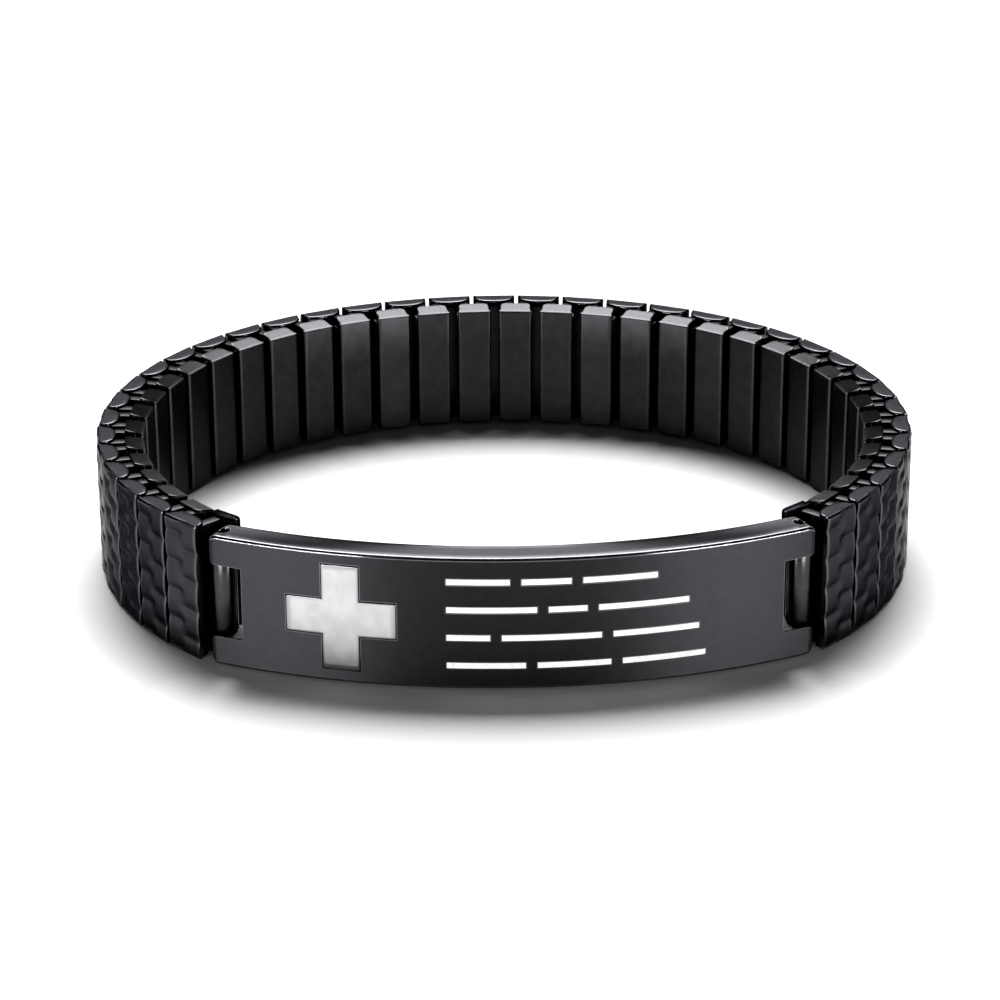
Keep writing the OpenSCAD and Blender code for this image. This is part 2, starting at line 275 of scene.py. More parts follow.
@dataclass(frozen=True)
class BrushedSteel:
    """Steel, coated or bare: brushed along one axis of the piece, lighter and smoother on worn edges."""

    name: str
    dark: Triple
    light: Triple
    gloss: float
    gloss_spread: float = 0.10
    cloud_scale: float = 0.9
    cloud_detail: float = 4.0
    cloud_low: float = 0.3
    cloud_high: float = 0.7
    brush: Triple = (0.35, 6.0, 6.0)
    brush_depth: float = 1.5e-6
    line_scale: float = 4.0
    line_detail: float = 5.0
    line_gain: float = 0.12
    worn: Triple = (0.16, 0.16, 0.17)
    wear_gain: float = 0.6
    polish: float = 0.5
    tone_gain: float = 0.0
    top: Triple | None = None
    top_share: float = 0.82
    top_lines: float = 1.4
    top_gloss: float = 0.3
    glancing: float = 0.5
    grain: float = 0.0
    grain_turn: float = 0.25

    def lines(self, recipe: Recipe, lay: bpy.types.NodeSocket, brush: Triple) -> Field:
        """Noise drawn out along the way of the brush."""
        return recipe.noise(recipe.stretched(lay, brush), self.line_scale, self.line_detail)

    def material(self) -> bpy.types.Material:
        """Colour: cloudy mix of two tones and the piece's own tone, with brush lines, lighter on its edges.
        A tone below 0 paints shade: the dark colour, without worn edges.

        Level faces may have a colour and gloss of their own, and their lines run the other way.

        Returns:
            The finished material.
        """
        recipe = Recipe(self.name)
        lay = recipe.attribute("lay").outputs["Vector"]
        clouds = recipe.noise(lay, self.cloud_scale, self.cloud_detail)
        lines = self.lines(recipe, lay, self.brush)
        if self.top is not None:
            level = recipe.varying("level")
            across = self.lines(recipe, lay, (self.brush[1], self.brush[0], self.brush[2]))
            lines = lines * (1 - level) + across * level
        wear = recipe.varying("wear")
        mask = clouds.smoothed(self.cloud_low, self.cloud_high)
        # A tone below 0 is painted shade: it pulls the mask below 0, to the dark colour, and takes the worn
        # edges away.
        if self.tone_gain > 0:
            tone = recipe.varying("tone")
            mask = mask * (1 - self.tone_gain) + tone * self.tone_gain
            wear = wear * (tone + 1).clamped()
        ground = recipe.tint((mask + (lines - 0.5) * self.line_gain).clamped(), self.dark, self.light)
        rough = self.gloss + (lines + clouds - 1) * self.gloss_spread
        if self.top is not None:
            shade = (level * (self.top_share + (lines - 0.5) * self.top_lines)).clamped()
            ground = recipe.tint(shade, ground, self.top)
            rough = rough + level * (self.top_gloss - self.gloss)
        colour = recipe.tint((wear * self.wear_gain * (clouds + 0.5)).clamped(), ground, self.worn)
        rough = rough * (1 - wear * self.polish)
        edge = (self.glancing, self.glancing, self.glancing, 1.0)
        return recipe.finish(
            colour, rough, lines, self.brush_depth,
            Metallic=1.0, Specular_Tint=edge, Anisotropic=self.grain, Anisotropic_Rotation=self.grain_turn,
        )


@dataclass(frozen=True)
class WhiteFill:
    """Matt white enamel in the engraved dashes."""

    name: str = Slot.WHITE.value
    dark: Triple = (0.74, 0.74, 0.73)
    light: Triple = (0.88, 0.88, 0.87)
    speck_scale: float = 4000.0
    speck_low: float = 0.25
    speck_high: float = 0.6
    gloss: float = 0.55
    gloss_spread: float = 0.2
    depth: float = 4e-6

    def material(self) -> bpy.types.Material:
        """Colour: almost even white with faint specks. Bump: the same fine noise.

        Returns:
            The finished material.
        """
        recipe = Recipe(self.name)
        specks = recipe.noise(recipe.object_place(), self.speck_scale)
        colour = recipe.tint(specks.smoothed(self.speck_low, self.speck_high), self.dark, self.light)
        return recipe.finish(colour, self.gloss + (specks - 0.5) * self.gloss_spread, specks, self.depth)


@dataclass(frozen=True)
class PaleFloor:
    """Plain white floor."""

    name: str = "pale_floor"
    dark: Triple = (0.86, 0.86, 0.865)
    light: Triple = (0.88, 0.88, 0.88)
    gloss: float = 0.9
    cloud_scale: float = 3.0
    cloud_detail: float = 2.0

    def material(self) -> bpy.types.Material:
        """Colour: even white, with a faint change of tone.

        Returns:
            The finished material.
        """
        recipe = Recipe(self.name)
        clouds = recipe.noise(recipe.object_place(), self.cloud_scale, self.cloud_detail)
        return recipe.finish(recipe.tint(clouds, self.dark, self.light), self.gloss, Specular_IOR_Level=0.0)


def read_values(items: Any, name: str, kind: type, width: int = 1) -> np.ndarray:
    """Reads one property of all items of a mesh.

    Args:
        items: The mesh's points, edges, corners or faces, or the data of an attribute.
        name: Name of the property.
        kind: Number type of the array.
        width: How many numbers each item has.

    Returns:
        A row for each item, or a plain number for each where the width is 1.
    """
    values = np.zeros(len(items) * width, kind)
    items.foreach_get(name, values)
    return values.reshape(-1, width) if width > 1 else values


def write_attribute(mesh: bpy.types.Mesh, name: str, values: np.ndarray) -> None:
    """Gives each point of a mesh a number or a vector.

    Args:
        mesh: The mesh.
        name: Name of the new attribute.
        values: A number or a row of three for each point.
    """
    kind, key = ("FLOAT_VECTOR", "vector") if values.ndim > 1 else ("FLOAT", "value")
    mesh.attributes.new(name, kind, "POINT").data.foreach_set(key, values.astype(np.float32).ravel())


def link_object(name: str, data: bpy.types.ID) -> bpy.types.Object:
    """Puts a new object into the scene.

    Args:
        name: Name of the object.
        data: Its mesh, camera or light.

    Returns:
        The object, at the origin.
    """
    made = bpy.data.objects.new(name, data)
    bpy.context.scene.collection.objects.link(made)
    return made


def quarter(count: int) -> np.ndarray:
    """Angles of a quarter turn, from 0 to pi / 2."""
    return np.linspace(0.0, math.pi / 2, count)


def soft_step(share: np.ndarray) -> np.ndarray:
    """A step from 0 to 1 that starts and ends level."""
    return share * share * (3 - 2 * share)


def at_height(outline: np.ndarray, z: float) -> np.ndarray:
    """Points of a flat outline, all at one height."""
    return np.column_stack([outline, np.full(len(outline), z)])


def turned(angle: float) -> np.ndarray:
    """Matrix of a turn about Z."""
    c, s = math.cos(angle), math.sin(angle)
    return np.array([[c, -s, 0.0], [s, c, 0.0], [0.0, 0.0, 1.0]])


@dataclass
class Shell:
    """Patches of points and faces that weld into one mesh, in millimetres."""

    points: list[np.ndarray] = field(default_factory=list)
    lays: list[np.ndarray] = field(default_factory=list)
    quads: list[np.ndarray] = field(default_factory=list)
    loops: list[np.ndarray] = field(default_factory=list)
    count: int = 0

    def add(self, points: np.ndarray, lay: np.ndarray | None = None) -> np.ndarray:
        """Adds points.

        Args:
            points: Array whose last axis is x, y, z.
            lay: Pattern coordinates of the same shape, or the points themselves.

        Returns:
            Indices of the points, in their array's shape.
        """
        flat = np.array(points, float).reshape(-1, 3)
        self.points.append(flat)
        self.lays.append(flat if lay is None else lay.reshape(-1, 3))
        index = self.count + np.arange(len(flat)).reshape(points.shape[:-1])
        self.count += len(flat)
        return index

    def grid(self, points: np.ndarray, lay: np.ndarray | None = None, wrap: bool = False) -> None:
        """Adds a grid of points with a face for each cell.

        Args:
            points: Array (rows, columns, 3).
            lay: Pattern coordinates of the same shape.
            wrap: Whether the last column joins the first.
        """
        index = self.add(points, lay)
        if wrap:
            index = np.concatenate([index, index[:, :1]], axis=1)
        corners = [index[:-1, :-1], index[:-1, 1:], index[1:, 1:], index[1:, :-1]]
        self.quads.append(np.stack([c.ravel() for c in corners], axis=1))

    def face(self, points: np.ndarray, lay: np.ndarray | None = None) -> None:
        """Adds one flat face with any number of corners."""
        self.loops.append(self.add(points, lay).ravel())

    @classmethod
    def tube(cls, rings: Sequence[np.ndarray]) -> "Shell":
        """A closed solid through rings of points, with a flat face at each end.

        Args:
            rings: Arrays (columns, 3) of one length, from end to end.

        Returns:
            The solid's patches.
        """
        shell = cls()
        shell.grid(np.stack(rings), wrap=True)
        shell.face(rings[0])
        shell.face(rings[-1])
        return shell

    def mirrored(self, axis: int, middle: float) -> "Shell":
        """A copy with one axis mirrored about a middle value.

        Args:
            axis: 0, 1 or 2.
            middle: Place of the mirror on that axis.

        Returns:
            The mirrored copy.
        """
        flipped = []
        for block in self.points:
            block = block.copy()
            block[:, axis] = 2 * middle - block[:, axis]
            flipped.append(block)
        return Shell(flipped, list(self.lays), list(self.quads), list(self.loops), self.count)

    def join(self, other: "Shell") -> None:
        """Takes in the patches of another shell.

        Args:
            other: The shell, which stays as it is.
        """
        self.points += other.points
        self.lays += other.lays
        self.quads += [q + self.count for q in other.quads]
        self.loops += [q + self.count for q in other.loops]
        self.count += other.count

    def welded(self) -> "Solid":
        """Welds points that coincide, drops faces that vanish and turns faces outwards.

        Returns:
            The welded solid, in metres.
        """
        mesh = bpy.data.meshes.new("draft")
        points = np.concatenate(self.points) * MM
        faces = [q for block in self.quads for q in block.tolist()] + [q.tolist() for q in self.loops]
        mesh.from_pydata(points.tolist(), [], faces)
        write_attribute(mesh, "lay", np.concatenate(self.lays))
        work = bmesh.new()
        work.from_mesh(mesh)
        bmesh.ops.remove_doubles(work, verts=work.verts, dist=WELD)
        bmesh.ops.dissolve_degenerate(work, edges=work.edges, dist=WELD)
        bmesh.ops.recalc_face_normals(work, faces=work.faces)
        work.to_mesh(mesh)
        work.free()
        return Solid(mesh)


class Solid:
    """A welded mesh that is kept as arrays, so that it can be placed many times."""

    def __init__(self, mesh: bpy.types.Mesh) -> None:
        """Reads the arrays out of a mesh and removes it.

        Args:
            mesh: The welded mesh, with its pattern coordinates in the attribute "lay".
        """
        self.points = read_values(mesh.vertices, "co", np.float32, 3).astype(float)
        self.lay = read_values(mesh.attributes["lay"].data, "vector", np.float32, 3)
        self.corners = read_values(mesh.loops, "vertex_index", np.int32)
        self.starts = read_values(mesh.polygons, "loop_start", np.int32)
        self.totals = read_values(mesh.polygons, "loop_total", np.int32)
        bpy.data.meshes.remove(mesh)


@dataclass(frozen=True)
class Copy:
    """One placing of a solid: a turn and a shift in metres, with its tone and pattern shift."""

    turn: np.ndarray
    shift: np.ndarray
    tone: float = 0.5
    lay_shift: Triple = (0.0, 0.0, 0.0)


STAY = Copy(np.eye(3), np.zeros(3))  # the solid stays where it was drawn
HALF_TURN = np.diag([-1.0, 1.0, -1.0])  # upside down, about Y


def edge_wear(mesh: bpy.types.Mesh, low: float = 1.5, high: float = 5.0) -> np.ndarray:
    """How sharply the surface bends outwards at each point.

    Along each edge the bend is the change of the normal over the length, as seen along the edge. A
    point takes the strongest bend of its edges, and a soft step turns it into 0 to 1.

    Args:
        mesh: The mesh.
        low: Bend that gives 0, per millimetre.
        high: Bend that gives 1, per millimetre.

    Returns:
        A value for each point.
    """
    points = read_values(mesh.vertices, "co", np.float32, 3)
    normals = read_values(mesh.vertices, "normal", np.float32, 3)
    one, two = read_values(mesh.edges, "vertices", np.int32, 2).T
    along = (points[two] - points[one]) / MM
    bend = np.sum((normals[two] - normals[one]) * along, axis=1) / np.maximum(np.sum(along**2, axis=1), CLOSE)
    strongest = np.zeros(len(points))
    np.maximum.at(strongest, one, bend)
    np.maximum.at(strongest, two, bend)
    return soft_step(np.clip((strongest - low) / (high - low), 0, 1))


def make_piece(
    name: str, parts: Sequence[tuple[Solid, Sequence[Copy]]], sharp: float = 40.0
) -> bpy.types.Object:
    """Makes one object out of copies of solids.

    Its points carry four attributes: the pattern coordinates, the copy's tone (below 0 it is painted shade on
    the sleeves between the links), the wear of the edges and how level the surface lies.

    Args:
        name: Name of the piece.
        parts: Each solid with its placings.
        sharp: Edges that turn by more than this many degrees stay sharp.

    Returns:
        The object, at the origin, with its place in its mesh.
    """
    points, lays, tones, corners, starts, totals = [], [], [], [], [], []
    point_count = corner_count = 0
    for solid, copies in parts:
        for copy in copies:
            points.append(solid.points @ copy.turn.T + copy.shift)
            lays.append(solid.lay + np.array(copy.lay_shift, np.float32))
            tones.append(np.full(len(solid.points), copy.tone))
            corners.append(solid.corners + point_count)
            starts.append(solid.starts + corner_count)
            totals.append(solid.totals)
            point_count += len(solid.points)
            corner_count += len(solid.corners)
    mesh = bpy.data.meshes.new(name)
    mesh.vertices.add(point_count)
    mesh.vertices.foreach_set("co", np.concatenate(points).astype(np.float32).ravel())
    mesh.loops.add(corner_count)
    mesh.loops.foreach_set("vertex_index", np.concatenate(corners).astype(np.int32))
    first = np.concatenate(starts)
    mesh.polygons.add(len(first))
    mesh.polygons.foreach_set("loop_start", first.astype(np.int32))
    mesh.polygons.foreach_set("loop_total", np.concatenate(totals).astype(np.int32))
    mesh.update(calc_edges=True)
    write_attribute(mesh, "lay", np.concatenate(lays))
    write_attribute(mesh, "tone", np.concatenate(tones))
    write_attribute(mesh, "wear", edge_wear(mesh))
    normals = read_values(mesh.vertices, "normal", np.float32, 3)
    write_attribute(mesh, "level", np.clip(np.abs(normals[:, 2]) * LEVEL_GAIN - LEVEL_SHIFT, 0, 1))
    mesh.polygons.foreach_set("use_smooth", np.ones(len(first), bool))
    mesh.set_sharp_from_angle(angle=math.radians(sharp))
    return link_object(name, mesh)


def settle(piece: bpy.types.Object, material: bpy.types.Material, nodes: Sequence[str]) -> None:
    """Dresses a new piece and ties it to the frame.

    Args:
        piece: The new object.
        material: Its finish.
        nodes: CAD nodes that it stands for.
    """
    piece.data.materials.append(material)
    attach(piece, "root")
    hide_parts(*nodes)
    LOG.info("%s: %d faces for %s", piece.name, len(piece.data.polygons), ", ".join(nodes))


def dress_node(node: bpy.types.Object, material: bpy.types.Material) -> None:
    """Gives a CAD node a finish in each of its material slots.

    Args:
        node: The node's object, whose mesh stays as it is.
        material: Its finish.
    """
    if not node.material_slots:
        node.data.materials.append(material)
    for entry in node.material_slots:
        entry.material = material
    LOG.info("%s: CAD mesh, finish %s", node.name, material.name)


@dataclass(frozen=True)
class Loop:
    """Middle line of the bracelet in plan, in millimetres, as in the part's source."""

    plate_bend_r: float = 53.5
    pin_reach: float = 24.5
    hinge_turn: float = 15.9
    side_bend_r: float = 32.0
    side_turn: float = 112.0
    hinge_inset: float = 0.6
    lead_in: float = 1.57
    link_count: int = 37
    outer_face: float = 2.1
    plate_t: float = 2.9

    @property
    def pin_angle(self) -> float:
        """Turn of the plate from its middle to the pin, in radians."""
        return self.pin_reach / self.plate_bend_r

    @property
    def band_start(self) -> Triple:
        """Start of the band's middle line at the hinge, before the shift in depth.

        Returns:
            x, y and the heading in radians.
        """
        pin = self.pin_angle
        heading = pin + math.radians(self.hinge_turn)
        x = self.plate_bend_r * math.sin(pin) - self.hinge_inset * math.sin(heading)
        y = self.plate_bend_r * (1 - math.cos(pin)) + self.hinge_inset * math.cos(heading)
        return x, y, heading

    @property
    def side_centre(self) -> tuple[float, float]:
        """Centre of the side's bend."""
        x, y, heading = self.band_start
        return x - self.side_bend_r * math.sin(heading), y + self.side_bend_r * math.cos(heading)

    @property
    def back(self) -> Triple:
        """Bend of the band's back.

        Returns:
            Heading where the bend begins, its radius and its centre's depth.
        """
        heading = self.band_start[2] + math.radians(self.side_turn)
        x = self.side_centre[0] + self.side_bend_r * math.sin(heading)
        y = self.side_centre[1] - self.side_bend_r * math.cos(heading)
        radius = x / math.sin(heading)
        return heading, radius, y + radius * math.cos(heading)

    @property
    def half_length(self) -> float:
        """Length of the band's middle line from a hinge to the middle of the back."""
        heading, radius, _ = self.back
        return self.side_bend_r * math.radians(self.side_turn) + radius * (math.pi - heading)

    @property
    def pitch(self) -> float:
        """Step from link to link."""
        return 2 * (self.half_length - self.lead_in) / self.link_count

    @property
    def depth_mid(self) -> float:
        """Depth of the footprint's middle."""
        _, radius, centre = self.back
        return (centre + radius + self.outer_face - self.plate_t / 2) / 2

    def station(self, along: float) -> Triple:
        """Place and heading on the band: an arc at the side, then the back's arc, then their mirror image.

        Args:
            along: Length from the right hinge round the back.

        Returns:
            x, y and the heading in radians.
        """
        if along > self.half_length:
            x, y, heading = self.station(2 * self.half_length - along)
            return -x, y, 2 * math.pi - heading
        side = self.side_bend_r * math.radians(self.side_turn)
        if along < side:
            heading = self.band_start[2] + along / self.side_bend_r
            x = self.side_centre[0] + self.side_bend_r * math.sin(heading)
            return x, self.side_centre[1] - self.side_bend_r * math.cos(heading) - self.depth_mid, heading
        start, radius, centre = self.back
        heading = start + (along - side) / radius
        return radius * math.sin(heading), centre - radius * math.cos(heading) - self.depth_mid, heading

    def on_band(self, along: float, tone: float = 0.5, lay_shift: Triple = (0.0, 0.0, 0.0)) -> Copy:
        """Placing with local Y outwards and local X back along the band.

        Args:
            along: Length from the right hinge round the back.
            tone: The copy's own tone.
            lay_shift: Shift of its pattern.

        Returns:
            The placing.
        """
        x, y, heading = self.station(along)
        return Copy(turned(heading + math.pi), np.array([x, y, 0.0]) * MM, tone, lay_shift)

    def on_hinge(self, left: bool) -> Copy:
        """Placing at a hinge pin, turned as the band is there.

        The left one is the right one mirrored, which for a shape that is even about its middle height
        is half a turn.

        Args:
            left: Whether it is the left hinge.

        Returns:
            The placing.
        """
        x = self.plate_bend_r * math.sin(self.pin_angle)
        y = self.plate_bend_r * (1 - math.cos(self.pin_angle)) - self.depth_mid
        turn = turned(self.band_start[2] + math.pi)
        if left:
            return Copy(HALF_TURN @ turn, np.array([-x, y, BAND_H]) * MM)
        return Copy(turn, np.array([x, y, 0.0]) * MM)

    def on_plate(self, angle: np.ndarray, depth: np.ndarray, z: np.ndarray) -> np.ndarray:
        """Points about the plate's bend: its radius plus the depth, turned by the angle.

        Args:
            angle: Turn from the plate's middle, in radians.
            depth: Distance outwards from the middle line.
            z: Height.

        Returns:
            Points in the row frame, in millimetres.
        """
        angle, depth, z = np.broadcast_arrays(angle, depth, z)
        radius = self.plate_bend_r + depth
        y = self.plate_bend_r - self.depth_mid - radius * np.cos(angle)
        return np.stack([radius * np.sin(angle), y, z], axis=-1)


@dataclass
class FoldedLink:
    """A link folded out of sheet: an upright face, two folds and two tabs, with a sleeve behind."""

    width: float
    face_y: float
    low_y: float
    wall_t: float
    height: float = BAND_H
    sheet_t: float = SHEET_T
    fold_r: float = 0.25
    edge_r: float = 0.1
    slot_h: float = 0.42
    sleeve_play: float = 0.004
    sleeve_lap: float = 0.03
    tab_inset: float = 0.12
    tab_bow: float = 0.0
    bow_power: float = 0.9
    tab_corner_r: float = 0.5
    tab_slope: float = 0.0
    side_pace: float = 1.2
    widen_pace: float = 3.0
    rim: float = 0.1
    dome: float = 0.0
    dome_limit: float = 1.4
    dome_fade: float = 3.0
    face_rows: int = 2
    rim_rows: int = 4
    tab_rows: int = 6
    fold_rows: int = 7
    half_columns: int = 8
    roll_columns: int = 4
    drop: Callable[[np.ndarray, np.ndarray], np.ndarray] | None = None

    @property
    def inside_y(self) -> float:
        """Depth of the face's inner side."""
        return self.face_y - self.wall_t

    @property
    def tab_end_y(self) -> float:
        """Depth at which a tab runs into its fold."""
        return self.face_y - self.fold_r + self.fold_r * math.sin(self.tab_slope)

    def sink(self, y: Any) -> Any:
        """How far a sloping tab has come down at a depth, for a number or an array."""
        return (y - self.low_y) * math.tan(self.tab_slope)

    def across(self) -> tuple[np.ndarray, np.ndarray]:
        """Columns of the face: even ones between two rounded upright edges.

        Returns:
            x of the columns, and how far each lies behind the face.
        """
        turn = quarter(self.roll_columns + 1)[1:]
        half = self.width / 2
        roll_x = half - self.edge_r * (1 - np.sin(turn))
        roll_y = self.edge_r * (1 - np.cos(turn))
        flat = np.linspace(-(half - self.edge_r), half - self.edge_r, 2 * self.half_columns + 1)
        x = np.concatenate([-roll_x[::-1], flat, roll_x])
        y = np.concatenate([roll_y[::-1], np.zeros(len(flat)), roll_y])
        return x, y

    @property
    def fold_centre(self) -> tuple[float, float]:
        """Centre of the upper fold, below the end of the sloping tab.

        Returns:
            Its depth and height.
        """
        start_z = self.height - self.sink(self.tab_end_y)
        return self.face_y - self.fold_r, start_z - self.fold_r * math.cos(self.tab_slope)

    def outline(self) -> tuple[np.ndarray, np.ndarray]:
        """Free edge of a tab, one point for each column of the face.

        The end is a bow, or a straight edge with round corners, spread evenly over the flat columns.
        The columns of the rounded edges share the two straight sides, and the last of them widen to
        the sheet's full width at the fold.

        Returns:
            x and y of the points.
        """
        half = self.width / 2 - self.tab_inset
        if self.tab_bow > 0:
            turn = quarter(self.half_columns + 1)
            ox = half * np.sin(turn) ** self.bow_power
            oy = self.low_y + self.tab_bow * (1 - np.cos(turn) ** self.bow_power)
        else:
            turn = quarter(self.half_columns)
            r = self.tab_corner_r
            ox = np.concatenate([[0.0], half - r + r * np.sin(turn)])
            oy = np.concatenate([[self.low_y], self.low_y + r * (1 - np.cos(turn))])
        share = np.linspace(0, 1, self.roll_columns + 1)[1:]
        side_x = half + (self.width / 2 - half) * np.clip(1 - (1 - share) * self.widen_pace, 0, 1)
        side_y = oy[-1] + (self.tab_end_y - oy[-1]) * np.clip(share * self.side_pace, 0, 1)
        ox, oy = np.concatenate([ox, side_x]), np.concatenate([oy, side_y])
        return np.concatenate([-ox[:0:-1], ox]), np.concatenate([oy[:0:-1], oy])

    def upper_tab(self, x: np.ndarray) -> np.ndarray:
        """Upper tab from its rim to the fold.

        The rim rises by a quarter circle from the outline, inwards by its normal; behind it the rows
        run straight to the fold line, over a dome that falls with the square of the distance and
        fades out over the last third.

        Args:
            x: Columns of the face.

        Returns:
            Points (rows, columns, 3).
        """
        ox, oy = self.outline()
        tx, ty = np.gradient(ox), np.gradient(oy)
        size = np.maximum(np.hypot(tx, ty), TINY)
        room = np.clip((self.tab_end_y - oy) / self.rim, 0.0, 1.0)
        rows = []
        for turn in quarter(self.rim_rows):
            inset = self.rim * (1 - math.cos(turn)) * room
            drop = self.rim * (1 - math.sin(turn)) * room
            rows.append(np.stack([ox - ty / size * inset, oy + tx / size * inset, -drop], axis=-1))
        end = np.stack([x, np.full_like(x, self.tab_end_y), np.zeros_like(x)], axis=-1)
        lip = rows[-1]
        rows += [lip * (1 - share) + end * share for share in np.linspace(0, 1, self.tab_rows)[1:]]
        points = np.stack(rows)
        deep = (points[..., 1] - self.low_y) / (self.tab_end_y - self.low_y)
        away = (points[..., 0] / (self.width / 2)) ** 2 + (2 * deep - 1) ** 2
        fade = np.clip((1 - deep) * self.dome_fade, 0, 1)
        points[..., 2] -= self.dome * np.clip(away, 0, self.dome_limit) * fade
        points[..., 2] += self.height - self.sink(points[..., 1])
        return points

    def upper_face(self, x: np.ndarray, roll: np.ndarray) -> np.ndarray:
        """Upper fold and the face down to its middle: an arc, then a straight line.

        Args:
            x: Columns of the face.
            roll: How far each column lies behind the face.

        Returns:
            Points (rows, columns, 3).
        """
        turn = np.linspace(self.tab_slope, math.pi / 2, self.fold_rows)[1:, None]
        centre_y, centre_z = self.fold_centre
        y = centre_y + self.fold_r * np.sin(turn) + 0 * x
        z = centre_z + self.fold_r * np.cos(turn) + 0 * x
        low = np.linspace(centre_z, self.height / 2, self.face_rows + 1)[1:, None] + 0 * x
        fade = np.concatenate([np.sin(turn) + 0 * x, np.ones_like(low)])
        y = np.concatenate([y, np.full_like(low, self.face_y)]) - roll * fade
        z = np.concatenate([z, low])
        return np.stack([np.broadcast_to(x, y.shape), y, z], axis=-1)

    def skin(self) -> Shell:
        """Outer side, inner side and rims of the folded sheet.

        The lower half mirrors the upper one. Where the face has a relief, no point stands out of it.

        Returns:
            The patches of one closed solid.
        """
        x, roll = self.across()
        upper = np.concatenate([self.upper_tab(x), self.upper_face(x, roll)])
        lower = upper[::-1][1:].copy()
        lower[..., 2] = self.height - lower[..., 2]
        skin = np.concatenate([upper, lower])
        if self.drop is not None:
            face = self.face_y - roll - self.drop(skin[..., 0], skin[..., 2])
            skin[..., 1] = np.minimum(skin[..., 1], face)
        shell = Shell()
        shell.grid(skin)
        low_z, high_z = self.sheet_t, self.height - self.sheet_t
        deep = self.sink(self.inside_y)
        ends = np.array([[x[-1], self.inside_y, 0.0], [x[0], self.inside_y, 0.0]])
        for edge, way in ((0, -1), (-1, 1)):
            under = skin[edge].copy()
            level = high_z if way < 0 else low_z
            under[:, 2] = level + way * self.sink(under[:, 1])
            ends[:, 2] = level + way * deep
            shell.grid(np.stack([skin[edge], under]))
            shell.face(np.concatenate([under, ends]))
        backs = []
        for side in (0, -1):
            inner = skin[:, side].copy()
            inner[:, 0], inner[:, 1] = x[side], self.inside_y
            inner[:, 2] = np.clip(inner[:, 2], low_z + deep, high_z - deep)
            shell.grid(np.stack([skin[:, side], inner]))
            backs.append(inner)
        shell.grid(np.stack(backs))
        return shell

    def sleeve(self) -> Shell:
        """Three upright walls that close the link behind its face, between the slots for the staples.

        Returns:
            The walls as one closed prism.
        """
        half, t = self.width / 2 - self.sleeve_play, self.sheet_t
        front = self.inside_y + self.sleeve_lap
        outline = np.array([
            [half, front], [half, self.low_y], [-half, self.low_y], [-half, front],
            [-half + t, front], [-half + t, self.low_y + t], [half - t, self.low_y + t], [half - t, front],
        ])
        top = self.height - self.sheet_t - self.slot_h - self.sink(self.inside_y)
        return Shell.tube([at_height(outline, self.height - top), at_height(outline, top)])


